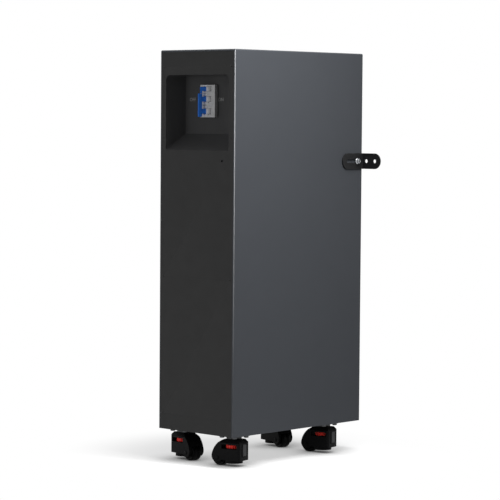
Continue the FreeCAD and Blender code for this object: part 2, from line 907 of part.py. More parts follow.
def caster_plate(name):
    """The square top plate with its bearing boss and kingpin."""
    half = caster_plate_side / 2
    low = caster_height - caster_plate_thickness
    plate = box(-half, half, -half, half, low, caster_height)
    plate = fillet_where(plate, caster_plate_corner, lambda edge: runs_along(edge, 2))
    hole = caster_hole_spacing / 2
    for x in (-hole, hole):
        for y in (-hole, hole):
            plate = plate.cut(post(caster_hole_radius, caster_height, x, y, low - cut_margin))
    boss_low = low - caster_boss_height
    boss = post(caster_boss_radius, caster_boss_height, 0, 0, boss_low)
    boss = chamfer_where(boss, caster_boss_chamfer, lambda edge: edge.BoundBox.ZMax < boss_low + 0.01)
    pin = post(kingpin_radius, kingpin_reach, 0, 0, boss_low - kingpin_reach)
    copy = plate.fuse(boss).fuse(pin)
    copy.translate(caster_centre(name))
    return copy


def caster_body_top():
    """The top of the swivelling body, just under the fixed boss."""
    return caster_height - caster_plate_thickness - caster_boss_height - swivel_gap


def caster_block():
    """The block: shoulders slope down at the end, a big arc falls over the wheel and the cheeks round it."""
    top = caster_body_top()
    half = caster_body_half_width
    start = Vector(fender_top_reach, -half, top)
    middle = Vector(fender_middle_reach, -half, fender_middle_height)
    end = Vector(fender_end_reach, -half, fender_end_height)
    round_off = Vector(cheek_middle_reach, -half, cheek_middle_height)
    corners = [
        Vector(cheek_toe_reach, -half, cheek_bottom),
        Vector(cheek_heel_reach, -half, cheek_bottom),
        Vector(cheek_rise_reach, -half, caster_block_bottom),
        Vector(-caster_body_end, -half, caster_block_bottom),
        Vector(-caster_body_end, -half, caster_shoulder_height),
        Vector(caster_shoulder_slope - caster_body_end, -half, top),
        start,
    ]
    edges = [Part.Arc(start, middle, end).toShape(), Part.Arc(end, round_off, corners[0]).toShape()]
    for index in range(len(corners) - 1):
        edges.append(Part.makeLine(corners[index], corners[index + 1]))
    block = Part.Face(Part.Wire(edges)).extrude(Vector(0, 2 * half, 0))
    block = fillet_where(block, caster_body_corner,
                         lambda edge: runs_along(edge, 2) and edge.BoundBox.XMax < 0)
    return sloped_sides(block, top)


def sloped_sides(block, top):
    """Cuts the sloping shoulders along both sides of a caster block."""
    far = 2 * fender_end_reach
    for side in (-1, 1):
        y = side * (caster_body_half_width + cut_margin)
        inner = side * (caster_body_half_width - caster_shoulder_slope)
        low = caster_shoulder_height - (top - caster_shoulder_height) / caster_shoulder_slope
        high = top + cut_margin
        wedge = prism([Vector(-far, y, low), Vector(-far, y, high), Vector(-far, inner, high),
                       Vector(-far, inner, top)], Vector(2 * far, 0, 0))
        block = block.cut(wedge)
    return block


def caster_body(name):
    """The swivelling body: block, foot skirt, thumbwheel window, wheel pocket and bores."""
    top = caster_body_top()
    half = caster_body_half_width
    body = caster_block()
    skirt_height = caster_block_bottom + cut_margin - caster_skirt_bottom
    body = body.fuse(post(caster_skirt_radius, skirt_height, 0, 0, caster_skirt_bottom))
    plate = caster_panel_width / 2
    body = body.fuse(box(-caster_body_end - caster_panel_proud, cut_margin - caster_body_end, -plate, plate,
                         caster_panel_bottom, caster_panel_top))
    window = box(-window_end, window_wheel_end, -half - cut_margin, half + cut_margin,
                 window_bottom, window_top)
    body = body.cut(window)
    pocket = wheel_half_width + wheel_side_gap
    body = body.cut(rod_y(wheel_radius + wheel_gap, 2 * pocket, wheel_trail, -pocket, wheel_radius))
    body = body.cut(box(wheel_trail, 2 * fender_end_reach, -pocket, pocket, -cut_margin,
                        wheel_radius + wheel_gap))
    body = body.cut(post(foot_bore_radius, foot_bore_top, 0, 0, 0))
    body = body.cut(post(foot_stud_radius + foot_stud_gap, top, 0, 0, cut_margin))
    pin_low = top + swivel_gap - kingpin_reach - swivel_gap
    body = body.cut(post(kingpin_radius + kingpin_gap, 2 * kingpin_reach, 0, 0, pin_low))
    body = body.cut(rod_y(axle_radius + axle_gap, 3 * half, wheel_trail, -1.5 * half, wheel_radius))
    return placed(body, name)


def caster_axle(name):
    """The wheel's axle, with a low head at each end."""
    half = caster_body_half_width
    axle = rod_y(axle_radius, 2 * half, wheel_trail, -half, wheel_radius)
    for start in (-half - axle_head_length, half):
        axle = axle.fuse(rod_y(axle_head_radius, axle_head_length, wheel_trail, start, wheel_radius))
    return placed(axle, name)


def caster_wheel(name):
    """The nylon wheel: a flat tread with tapered shoulders, and a ring recessed round each hub face."""
    bore = axle_radius + axle_gap
    edge = wheel_radius - wheel_tread_crown
    half = wheel_half_width
    hub = wheel_hub_radius
    inset = half - wheel_hub_recess
    tread = half - wheel_shoulder
    groove = edge - wheel_rim_inset
    slope = wheel_hub_chamfer
    rising = [(bore, half), (hub - slope, half), (hub, inset), (groove - slope, inset), (groove, half),
              (edge, half), (wheel_radius, tread)]
    falling = [(r, -y) for r, y in reversed(rising)]
    profile = Part.makePolygon([Vector(r, y, 0) for r, y in rising + falling + rising[:1]])
    wheel = Part.Face(profile).revolve(Vector(0, 0, 0), Vector(0, 1, 0), 360)
    wheel.translate(Vector(wheel_trail, 0, wheel_radius))
    return placed(wheel, name)


def thumbwheel_low():
    """The underside of the thumbwheel with the foot drawn up."""
    return window_top - thumbwheel_top_gap - thumbwheel_thickness


def caster_thumbwheel(name):
    """The notched red disc, threaded in its bore, that screws the foot's stud down."""
    low = thumbwheel_low()
    disc = post(thumbwheel_radius, thumbwheel_thickness, 0, 0, low)
    notch = box(thumbwheel_radius - thumbwheel_notch_depth, thumbwheel_radius + cut_margin,
                -thumbwheel_notch_width / 2, thumbwheel_notch_width / 2, low - cut_margin,
                low + thumbwheel_thickness + cut_margin)
    notches = []
    for index in range(thumbwheel_notches):
        notches.append(turned(notch, Vector(0, 0, 0), Vector(0, 0, 1), 360 * index / thumbwheel_notches))
    disc = disc.cut(Part.makeCompound(notches))
    bore = post(foot_stud_radius + foot_stud_gap, 2 * thumbwheel_thickness, 0, 0, low - thumbwheel_thickness / 2)
    return placed(disc.cut(bore), name)


def caster_foot(name):
    """The foot pad, drawn up inside the skirt, with its threaded stud through the thumbwheel."""
    low = foot_pad_clearance
    flat = foot_pad_height / 2
    pad = post(foot_pad_radius, flat, 0, 0, low)
    cone = Part.makeCone(foot_pad_radius, foot_pad_top_radius, foot_pad_height - flat,
                         Vector(0, 0, low + flat), Vector(0, 0, 1))
    stud = post(foot_stud_radius, foot_stud_top - low - flat, 0, 0, low + flat)
    return placed(pad.fuse(cone).fuse(stud), name)


# Wall brackets

def wall_bracket(side):
    """An angle bracket: slotted leg on the cabinet's side, two-hole leg for the wall."""
    low = bracket_centre - bracket_height / 2
    high = bracket_centre + bracket_height / 2
    round_end = bracket_height / 2
    inner = half_width + bracket_gap
    outer = inner + bracket_sheet
    bend = bracket_bend_radius
    side_leg = box(inner, outer, rear - bracket_side_leg + round_end, rear - bend, low, high)
    side_leg = side_leg.fuse(rod_x(round_end, bracket_sheet, inner, rear - bracket_side_leg + round_end,
                                   bracket_centre))
    far = inner + bracket_wall_leg - round_end
    wall_leg = box(inner + bend, far, rear - bracket_sheet, rear, low, high)
    wall_leg = wall_leg.fuse(rod_y(round_end, bracket_sheet, far, rear - bracket_sheet, bracket_centre))
    corner = box(inner, inner + bend, rear - bend, rear, low, high)
    corner = corner.cut(box(outer, inner + bend + cut_margin, rear - bend - cut_margin, rear - bracket_sheet,
                            low, high))
    corner = fillet_where(corner, bracket_bend_round, lambda edge: corner_edge(edge, inner))
    bracket = side_leg.fuse(wall_leg).fuse(corner)
    slot_low = bracket_centre - bracket_slot_width / 2
    slot_end = bracket_slot_width / 2
    slot_front = bracket_slot_front + slot_end
    slot_rear = bracket_slot_front + bracket_slot_length - slot_end
    slot = box(inner - cut_margin, outer + cut_margin, slot_front, slot_rear, slot_low,
               slot_low + bracket_slot_width)
    length = bracket_sheet + 2 * cut_margin
    for y in (slot_front, slot_rear):
        slot = slot.fuse(rod_x(slot_end, length, inner - cut_margin, y, bracket_centre))
    bracket = bracket.cut(slot)
    for step in (0, 1):
        x = inner + bracket_hole_first + step * bracket_hole_spacing
        bracket = bracket.cut(rod_y(bracket_hole_radius, 3 * bracket_sheet, x, rear - 2 * bracket_sheet,
                                    bracket_centre))
    return to_side(bracket.removeSplitter(), side)


def corner_edge(edge, x):
    """True for the outer upright edge of the bracket's bend."""
    outside = abs(edge.BoundBox.XMax - x) < 0.001
    return runs_along(edge, 2) and outside and abs(edge.BoundBox.YMax - rear) < 0.001


def to_side(shape, side):
    """Mirrors a right-hand shape to the left where side is -1."""
    if side > 0:
        return shape
    return shape.mirror(Vector(0, 0, 0), Vector(1, 0, 0))


def bracket_screw(side):
    """The M6 flange screw that clamps a bracket through its slot."""
    seat = half_width + bracket_sheet + 2 * bracket_gap
    flange = rod_x(bracket_screw_flange_radius, bracket_screw_flange, seat, bracket_screw_y, bracket_centre)
    head = hexagon(bracket_screw_head_across, bracket_screw_head, 0, 0, 0)
    head.rotate(Vector(0, 0, 0), Vector(0, 1, 0), 90)
    head.translate(Vector(seat + bracket_screw_flange, bracket_screw_y, bracket_centre))
    shank = rod_x(bracket_screw_radius, bracket_screw_length, seat - bracket_screw_length,
                  bracket_screw_y, bracket_centre)
    return to_side(flange.fuse(head).fuse(shank), side)


def all_parts():
    """Every node of the battery by name."""
    parts = {
        "body_wrap": body_wrap(),
        "front_panel": front_panel(),
        "rear_panel": rear_panel(),
        "base_tray": base_tray(),
        "recess_tray": recess_tray(),
        "terminal_bay": terminal_bay(),
        "panel_screws": panel_screws(),
        "caster_screws": caster_screws(),
        "breaker_lower_pole": breaker_pole(breaker_low),
        "breaker_upper_pole": breaker_pole(breaker_low + pole_width),
        "breaker_aux_module": breaker_aux_module(),
        "breaker_handle": breaker_handle(),
        "breaker_aux_lever": breaker_aux_lever(),
        "din_rail": din_rail(),
        "reset_board": reset_board(),
        "reset_button": reset_button(),
        "cell_separators": cell_separators(),
        "cell_busbars": cell_busbars(),
        "pack_end_plates": pack_end_plates(),
        "pack_tie_rods": pack_tie_rods(),
        "bms_module": bms_module(),
        "positive_terminal": power_terminal(-power_terminal_offset),
        "negative_terminal": power_terminal(power_terminal_offset),
        "comm_sockets": comm_sockets(),
        "wall_bracket_left": wall_bracket(-1),
        "wall_bracket_right": wall_bracket(1),
        "bracket_screw_left": bracket_screw(-1),
        "bracket_screw_right": bracket_screw(1),
    }
    for layer in range(cell_layers):
        parts["cells_layer_%d" % (layer + 1)] = cell_layer(layer)
    for name in caster_places:
        parts["caster_%s_plate" % name] = caster_plate(name)
        parts["caster_%s_body" % name] = caster_body(name)
        parts["caster_%s_axle" % name] = caster_axle(name)
        parts["caster_%s_wheel" % name] = caster_wheel(name)
        parts["caster_%s_thumbwheel" % name] = caster_thumbwheel(name)
        parts["caster_%s_foot" % name] = caster_foot(name)
    return parts


os.makedirs("parts", exist_ok=True)
for node, shape in all_parts().items():
    shape.exportStep("parts/%s.step" % node)
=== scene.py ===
"""Lithium iron phosphate battery cabinet: finishes, fine pieces, studio and camera.

Everything is in metres in the frame of the solid model: X to the right along the
narrow front, Y to the rear, Z up, with the origin on the floor under the middle.
"""

import json
import logging
import math
from dataclasses import dataclass, field
from enum import Enum

import bmesh
import bpy
import numpy as np
from mathutils import Matrix, Vector

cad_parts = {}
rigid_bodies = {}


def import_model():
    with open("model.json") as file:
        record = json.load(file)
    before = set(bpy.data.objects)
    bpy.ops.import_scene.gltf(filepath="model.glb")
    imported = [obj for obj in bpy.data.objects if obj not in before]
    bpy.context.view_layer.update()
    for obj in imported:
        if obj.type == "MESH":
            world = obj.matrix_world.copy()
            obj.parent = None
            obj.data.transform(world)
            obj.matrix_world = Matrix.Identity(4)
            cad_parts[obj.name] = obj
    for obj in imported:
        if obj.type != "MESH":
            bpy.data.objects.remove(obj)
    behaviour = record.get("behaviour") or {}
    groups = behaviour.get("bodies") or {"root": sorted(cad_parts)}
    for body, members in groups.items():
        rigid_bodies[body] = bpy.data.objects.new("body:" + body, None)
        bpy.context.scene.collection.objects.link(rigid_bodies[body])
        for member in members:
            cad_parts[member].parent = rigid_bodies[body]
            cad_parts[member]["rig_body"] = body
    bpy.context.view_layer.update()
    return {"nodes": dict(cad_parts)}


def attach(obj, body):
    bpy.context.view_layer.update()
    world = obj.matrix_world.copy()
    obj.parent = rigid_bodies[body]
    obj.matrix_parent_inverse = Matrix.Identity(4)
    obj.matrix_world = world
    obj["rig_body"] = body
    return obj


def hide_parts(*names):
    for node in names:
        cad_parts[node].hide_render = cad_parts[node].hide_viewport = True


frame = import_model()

logging.basicConfig(level=logging.INFO, format="%(message)s")
log = logging.getLogger("battery")

Triple = tuple[float, float, float]
Color = Triple
Span = tuple[float, float]
Pairs = tuple[Span, ...]
Profile = list[Span]
Shell = tuple[np.ndarray, np.ndarray]
Piece = bpy.types.Object
Socket = bpy.types.NodeSocket
Source = Socket | float | Triple

MM = 0.001
FULL_TURN = 2.0 * math.pi
WELD_REACH = 2e-6
SHARP_ANGLE = math.radians(35)
ROUND_ANGLE = math.radians(28)
FLAT_ANGLE = math.radians(0.6)


class Axis(Enum):
    """The direction that a piece stands along, as the order in which its own x, y and z are taken.

    FRONT also stands along Y, with the piece's own x across and its own y upright.
    """

    X = (2, 0, 1)
    Y = (1, 2, 0)
    Z = (0, 1, 2)
    FRONT = (0, 2, 1)


class Side(Enum):
    """The left or the right side of the cabinet."""

    LEFT = -1
    RIGHT = 1


# Surfaces worked out as whole arrays

def grid_faces(rows: int, columns: int, ring_rows: bool = False) -> np.ndarray:
    """Quads of a grid: corner (i, j) joins (i + 1, j), (i + 1, j + 1) and (i, j + 1).

    Args:
        rows: Number of points along the first parameter.
        columns: Number of points round the second parameter, whose last column meets the first.
        ring_rows: True where the last row meets the first too.

    Returns:
        An array of four vertex numbers per face.
    """
    i = np.arange(rows if ring_rows else rows - 1)
    i, j = (part.ravel() for part in np.meshgrid(i, np.arange(columns), indexing="ij"))
    i_next = (i + 1) % rows
    j_next = (j + 1) % columns
    corners = [i * columns + j, i_next * columns + j, i_next * columns + j_next, i * columns + j_next]
    return np.stack(corners, axis=1)


def round_turn(steps: int) -> np.ndarray:
    """Angles of equal steps once round, without the last, which is the first again."""
    return np.linspace(0.0, FULL_TURN, steps, endpoint=False)


def in_scene(name: str, mesh: bpy.types.Mesh) -> Piece:
    """Links a mesh into the scene as an object at the origin."""
    piece = bpy.data.objects.new(name, mesh)
    bpy.context.scene.collection.objects.link(piece)
    return piece


def clean(mesh: bpy.types.Mesh, from_solid: bool) -> None:
    """Welds doubles, tidies the faces and smooths every edge that isn't sharp.

    Args:
        mesh: The mesh to clean.
        from_solid: True for a copy of a solid, whose flat triangles are merged. The faces of a
            new shell are pointed outwards instead.
    """
    cleaner = bmesh.new()
    cleaner.from_mesh(mesh)
    bmesh.ops.remove_doubles(cleaner, verts=cleaner.verts, dist=WELD_REACH)
    if from_solid:
        bmesh.ops.dissolve_limit(cleaner, angle_limit=FLAT_ANGLE, verts=cleaner.verts, edges=cleaner.edges)
    else:
        bmesh.ops.dissolve_degenerate(cleaner, edges=cleaner.edges, dist=WELD_REACH / 2)
        bmesh.ops.recalc_face_normals(cleaner, faces=cleaner.faces)
    cleaner.to_mesh(mesh)
    cleaner.free()
    mesh.polygons.foreach_set("use_smooth", np.ones(len(mesh.polygons), dtype=bool))
    mesh.set_sharp_from_angle(angle=ROUND_ANGLE if from_solid else SHARP_ANGLE)
    mesh.update()


def solid_from(name: str, shells: list[Shell]) -> Piece:
    """Makes one object of closed shells.

    Args:
        name: Name of the new object.
        shells: Pairs of points and quads.

    Returns:
        The new object, in the scene and at the origin.
    """
    start = 0
    points = []
    faces = []
    for shell_points, shell_faces in shells:
        points.append(shell_points.reshape(-1, 3))
        faces.append(shell_faces + start)
        start += len(points[-1])
    mesh = bpy.data.meshes.new(name)
    mesh.from_pydata(np.concatenate(points).tolist(), [], np.concatenate(faces).tolist())
    clean(mesh, from_solid=False)
    return in_scene(name, mesh)


def softened_copy(node: str, name: str, width: float, segments: int = 2) -> Piece:
    """A welded copy of a solid whose sharp edges get a small round, as a press or a mould leaves them.

    Args:
        node: Name of the solid in the frame.
        name: Name of the new piece.
        width: Width of the rounding in metres.
        segments: Steps across the rounding.

    Returns:
        The new piece.
    """
    mesh = frame["nodes"][node].data.copy()
    mesh.name = name
    mesh.materials.clear()
    clean(mesh, from_solid=True)
    piece = in_scene(name, mesh)
    bevel = piece.modifiers.new("edge_round", "BEVEL")
    bevel.limit_method = "ANGLE"
    bevel.angle_limit = ROUND_ANGLE
    bevel.width = width
    bevel.segments = segments
    bevel.use_clamp_overlap = True
    bevel.harden_normals = True
    return piece


def stood_along(points: np.ndarray, axis: Axis, centre: Triple) -> np.ndarray:
    """Points made along +Z, turned to stand along an axis from a centre."""
    return points[..., axis.value] + np.array(centre)


def revolved(profile: Profile, segments: int, axis: Axis, centre: Triple,
             waist: np.ndarray | None = None) -> Shell:
    """A profile turned about an axis: x = r cos t, y = r sin t, z = h.

    Args:
        profile: Radius and height of each profile point, as a closed loop or from pole to pole.
        segments: Number of steps round the axis.
        axis: Axis that the piece stands along.
        centre: Foot of the axis.
        waist: Optional factor on the radius, one row per profile point and one column per step.

    Returns:
        The points and the quads of the shell.
    """
    outline = np.array(profile, dtype=float)
    turn = round_turn(segments)
    radius = outline[:, :1] * (np.ones((1, segments)) if waist is None else waist)
    height = np.repeat(outline[:, 1:], segments, axis=1)
    points = np.stack([radius * np.cos(turn), radius * np.sin(turn), height], axis=-1)
    starts_at_pole = outline[0, 0] == 0.0
    return stood_along(points, axis, centre), grid_faces(len(outline), segments, not starts_at_pole)


def lofted(rings: list[tuple[np.ndarray, float]], axis: Axis, centre: Triple) -> Shell:
    """Outlines carried along an axis: ring k is its own outline at its own height.

    Args:
        rings: Outline x, y and height of each ring; a ring of equal points closes an end.
        axis: Axis that the rings are carried along.
        centre: Foot of the axis.

    Returns:
        The points and the quads of the shell.
    """
    flat = np.stack([outline for outline, height in rings])
    level = np.array([height for outline, height in rings])[:, None, None]
    level = np.broadcast_to(level, (*flat.shape[:2], 1))
    points = np.concatenate([flat, level], axis=-1)
    return stood_along(points, axis, centre), grid_faces(*flat.shape[:2])


def stacked(outline: np.ndarray, layers: Profile, axis: Axis, centre: Triple) -> Shell:
    """One outline repeated along an axis, times the factor of each layer at its height."""
    return lofted([(factor * outline, height) for factor, height in layers], axis, centre)


def offset(pairs: Pairs, radius: float, height: float) -> Profile:
    """Profile points from pairs in millimetres that are measured from a radius and a height."""
    return [(radius + across * MM, height + up * MM) for across, up in pairs]


def layered(pairs: Pairs) -> Profile:
    """Layers from pairs of a factor and a height in millimetres."""
    return [(factor, height * MM) for factor, height in pairs]


def superellipse(half_x: float, half_y: float, powers: Span, steps: int) -> np.ndarray:
    """A rounded rectangle: each coordinate is a signed power of the cosine or the sine of the turn.

    Args:
        half_x: Half of the width.
        half_y: Half of the height.
        powers: Powers of the cosine and of the sine; the nearer to 0, the straighter the sides.
        steps: Points round the outline.

    Returns:
        Points x, y round the outline.
    """
    turn = round_turn(steps)
    x = np.sign(np.cos(turn)) * np.abs(np.cos(turn)) ** powers[0] * half_x
    y = np.sign(np.sin(turn)) * np.abs(np.sin(turn)) ** powers[1] * half_y
    return np.stack([x, y], axis=-1)


def hexagon_outline(across: float, corner: float, samples: int = 8) -> np.ndarray:
    """A hexagon with cut corners: the apothem over the cosine, held below the corner's distance.

    Args:
        across: Distance across the flats.
        corner: How much of each corner is taken off.
        samples: Points per side.

    Returns:
        Points x, y round the outline.
    """
    turn = round_turn(6 * samples)
    folded = (turn + math.pi / 6) % (math.pi / 3) - math.pi / 6
    reach = np.minimum(across / 2 / np.cos(folded), across / math.sqrt(3) - corner)
    return np.stack([reach * np.cos(turn), reach * np.sin(turn)], axis=-1)


# Finishes

class NodeDesk:
    """A node tree while it is being drawn up."""

    def __init__(self, tree: bpy.types.NodeTree) -> None:
        """Takes over a tree and clears it."""
        self.tree = tree
        tree.nodes.clear()

    def node(self, kind: str, inputs: dict[str | int, Source] | None = None,
             **settings: str | int) -> bpy.types.Node:
        """Adds a node.

        Args:
            kind: Type of the node, without the word ShaderNode.
            inputs: Value or source of each input, by name or number.
            settings: Properties of the node itself.

        Returns:
            The node.
        """
        node = self.tree.nodes.new("ShaderNode" + kind)
        for name, value in settings.items():
            setattr(node, name, value)
        for key, value in (inputs or {}).items():
            self.fill(node.inputs[key], value)
        return node

    def fill(self, socket: Socket, value: Source) -> None:
        """Sets a socket to a plain value, or links it where the value is a socket.

        Args:
            socket: The input to fill.
            value: A number, a colour, a vector or another node's output.
        """
        if isinstance(value, Socket):
            self.tree.links.new(value, socket)
        elif socket.type == "RGBA":
            socket.default_value = (*value, 1.0)
        else:
            socket.default_value = value

    def math(self, kind: str, first: Source, second: Source) -> Socket:
        """One step of arithmetic."""
        return self.node("Math", {0: first, 1: second}, operation=kind).outputs["Value"]

    def size(self, value: Socket) -> Socket:
        """A number without its sign."""
        return self.math("ABSOLUTE", value, 0.0)

    def remap(self, source: Socket, low: float, high: float, start: float = 0.0,
              end: float = 1.0) -> Socket:
        """Maps the range low to high onto start to end and holds it there."""
        inputs = {"Value": source, "From Min": low, "From Max": high, "To Min": start, "To Max": end}
        return self.node("MapRange", inputs).outputs["Result"]


class ShaderSheet(NodeDesk):
    """One material of a piece while it is being drawn up."""

    cloud_span: Span = (0.3, 0.7)
    corner_span: Span = (0.02, 0.35)
    corner_samples: int = 4
    cell_softness: float = 0.6

    def __init__(self, name: str) -> None:
        """Starts a material with its output, shader and object coordinates.

        Args:
            name: Name of the material.
        """
        self.material = bpy.data.materials.new(name)
        self.material.use_nodes = True
        super().__init__(self.material.node_tree)
        self.shader = self.node("BsdfPrincipled")
        self.node("OutputMaterial", {"Surface": self.shader.outputs["BSDF"]})
        self.place = self.node("TexCoord").outputs["Object"]

    def dress(self, inputs: dict[str, Source]) -> None:
        """Fills the shader's own inputs."""
        for name, value in inputs.items():
            self.fill(self.shader.inputs[name], value)

    def noise(self, scale: float, detail: float = 3.0, rough: float = 0.55,
              place: Socket | None = None) -> Socket:
        """Cloudy noise of about one cloud per 1 / scale metres, on object coordinates or stretched ones."""
        inputs = {"Vector": self.place if place is None else place, "Scale": scale, "Detail": detail}
        return self.node("TexNoise", {**inputs, "Roughness": rough}).outputs["Fac"]

    def clouds(self, scale: float, detail: float = 4.0, onto: Span = (0.0, 1.0)) -> Socket:
        """Noise spread from its usual low to its usual high onto a range."""
        return self.remap(self.noise(scale, detail), *self.cloud_span, *onto)

    def clouded(self, color: Color, factors: Span, scale: float) -> Socket:
        """A colour that is shaded in clouds between two factors."""
        low, high = factors
        return self.mixed(self.clouds(scale), shaded(color, low), shaded(color, high))

    def pebbles(self, scale: float) -> Socket:
        """Rounded cells, as the grain of a mould leaves them."""
        inputs = {"Vector": self.place, "Scale": scale, "Smoothness": self.cell_softness}
        return self.node("TexVoronoi", inputs, feature="SMOOTH_F1").outputs["Distance"]

    def mixed(self, share: Source, first: Source, second: Source) -> Socket:
        """A colour between two colours, by the mix node's sockets for colours."""
        return self.node("Mix", {"Factor": share, 6: first, 7: second}, data_type="RGBA").outputs[2]

    def bump(self, height: Socket, depth: float, under: Socket) -> Socket:
        """A relief of a depth in metres over another normal."""
        inputs = {"Strength": 1.0, "Distance": depth, "Height": height, "Normal": under}
        return self.node("Bump", inputs).outputs["Normal"]

    def soft_normal(self, radius: float) -> Socket:
        """The normal of the surface with its edges rounded to a radius."""
        return self.node("Bevel", {"Radius": radius}, samples=self.corner_samples).outputs["Normal"]

    def edges(self, radius: float) -> Socket:
        """Where a surface turns: one minus the agreement of the rounded normal and the true one.

        Args:
            radius: How far from an edge the surface counts as turning.

        Returns:
            One on an edge, zero away from it.
        """
        true = self.node("NewGeometry").outputs["True Normal"]
        agree = self.node("VectorMath", {0: self.soft_normal(radius), 1: true}, operation="DOT_PRODUCT")
        turning = self.math("SUBTRACT", 1.0, agree.outputs["Value"])
        return self.remap(turning, *self.corner_span)


def shaded(color: Color, factor: float) -> Color:
    """A colour made lighter or darker by a factor."""
    return (color[0] * factor, color[1] * factor, color[2] * factor)


def around(middle: float, span: Span) -> Span:
    """A range that reaches from below a middle value to above it."""
    return (middle + span[0], middle + span[1])


@dataclass(frozen=True)
class Finish:
    """What a surface is made of or covered with."""

    color: Color

    def material(self, name: str) -> bpy.types.Material:
        """Builds the material.

        Args:
            name: Name of the material.

        Returns:
            The material.
        """
        sheet = ShaderSheet(name)
        self.draw(sheet)
        return sheet.material

    def draw(self, sheet: ShaderSheet) -> None:
        """Draws the finish on a sheet, which each kind of surface does its own way."""
        raise NotImplementedError


@dataclass(frozen=True)
class PowderCoat(Finish):
    """Baked powder paint on sheet steel: fine orange peel, faint mottling and rubbed edges."""

    roughness: float = 0.52
    gloss_span: Span = (-0.03, 0.03)
    gloss_scale: float = 38.0
    mottle: Span = (0.98, 1.02)
    mottle_scale: float = 9.0
    speck_scale: float = 2600.0
    speck_span: Span = (0.52, 0.72)
    speck_share: float = 0.22
    speck_lift: float = 1.7
    speck_rise: float = 0.35
    peel_scale: float = 1100.0
    peel_depth: float = 0.06 * MM
    edge_color: Color = (0.16, 0.16, 0.165)
    edge_share: float = 0.35
    edge_radius: float = 1.2 * MM
    edge_soft: float = 0.7 * MM
    wear_scale: float = 60.0
    wear_span: Span = (0.4, 0.65)
    wear_least: float = 0.2
    specular: float = 0.14

    def draw(self, sheet: ShaderSheet) -> None:
        """Draws mottled paint with pale specks, worn edges and orange peel.

        Args:
            sheet: Sheet to draw on.
        """
        speck = sheet.noise(self.speck_scale, detail=2.0)
        base = sheet.clouded(self.color, self.mottle, self.mottle_scale)
        bright = sheet.remap(speck, *self.speck_span, 0.0, self.speck_share)
        base = sheet.mixed(bright, base, shaded(self.color, self.speck_lift))
        wear_and_highlight_fade = sheet.remap(sheet.noise(self.wear_scale), *self.wear_span, self.wear_least, 1.0)
        wear = sheet.math("MULTIPLY", sheet.edges(self.edge_radius), wear_and_highlight_fade)
        base = sheet.mixed(sheet.math("MULTIPLY", wear, self.edge_share), base, self.edge_color)
        risen = sheet.math("MULTIPLY", speck, self.speck_rise)
        peel = sheet.math("ADD", sheet.noise(self.peel_scale), risen)
        sheet.dress({
            "Base Color": self.with_bend_highlight(sheet, base),
            "Roughness": sheet.clouds(self.gloss_scale, 5.0, around(self.roughness, self.gloss_span)),
            "Normal": sheet.bump(peel, self.peel_depth, sheet.soft_normal(self.edge_soft)),
            "Specular IOR Level": self.specular,
        })

    def with_bend_highlight(self, sheet: ShaderSheet, base: Socket) -> Socket:
        """The paint's colour with its painted bend highlight. Plain paint adds none of its own."""
        return base


@dataclass(frozen=True)
class FoldedCoat(PowderCoat):
    """Powder paint on the wrapped sheet, with a painted highlight along the upright bends, where |x| + |y|
    is greatest.

    The painted highlight fades towards the floor.
    """

    bend_highlight_color: Color = (0.78, 0.79, 0.81)
    bend_start: float = 327.8 * MM
    bend_end: float = 328.4 * MM
    rub_low: float = 200 * MM
    highlight_fade_high: float = 750 * MM
    highlight_least: float = 0.08

    def with_bend_highlight(self, sheet: ShaderSheet, base: Socket) -> Socket:
        """Mixes in the painted highlight colour where |x| + |y| comes within a bend, fading towards the
        floor.

        Args:
            sheet: Sheet to draw on.
            base: The paint's colour before the highlight is painted on.

        Returns:
            The colour with the painted bend highlight.
        """
        place = sheet.node("SeparateXYZ", {"Vector": sheet.place}).outputs
        reach = sheet.math("ADD", sheet.size(place["X"]), sheet.size(place["Y"]))
        # Painted highlight: bright along the upright bends, weaker towards the floor.
        bend = sheet.remap(reach, self.bend_start, self.bend_end)
        wear_and_highlight_fade = sheet.remap(place["Z"], self.rub_low, self.highlight_fade_high, self.highlight_least, 1.0)
        return sheet.mixed(sheet.math("MULTIPLY", bend, wear_and_highlight_fade), base, self.bend_highlight_color)


@dataclass(frozen=True)
class MouldedPlastic(Finish):
    """Injection-moulded plastic: spark-eroded grain, slight sink marks, and paler rims that are part polish
    and part painted edge highlight.
    """

    roughness: float = 0.45
    grain: float = 1800.0
    grain_depth: float = 0.05 * MM
    mottle: Span = (0.92, 1.07)
    mottle_scale: float = 55.0
    gloss_span: Span = (-0.06, 0.08)
    gloss_scale: float = 140.0
    sink_scale: float = 120.0
    sink_depth: float = 0.12 * MM
    rim_polish_and_highlight: float = 1.35
    edge_share: float = 0.6
    edge_radius: float = 0.6 * MM
    edge_soft: float = 0.4 * MM
    specular: float = 0.25

    def draw(self, sheet: ShaderSheet) -> None:
        """Draws clouded plastic with paler rims (polish and painted edge highlight), sink marks and an
        eroded grain.

        Args:
            sheet: Sheet to draw on.
        """
        base = sheet.clouded(self.color, self.mottle, self.mottle_scale)
        # Paler rims: part polish, part painted edge highlight.
        rim = sheet.math("MULTIPLY", sheet.edges(self.edge_radius), self.edge_share)
        soft = sheet.soft_normal(self.edge_soft)
        sink = sheet.bump(sheet.noise(self.sink_scale, detail=1.0), self.sink_depth, soft)
        sheet.dress({
            "Base Color": sheet.mixed(rim, base, shaded(self.color, self.rim_polish_and_highlight)),
            "Roughness": sheet.clouds(self.gloss_scale, onto=around(self.roughness, self.gloss_span)),
            "Normal": sheet.bump(sheet.pebbles(self.grain), self.grain_depth, sink),
            "Specular IOR Level": self.specular,
        })


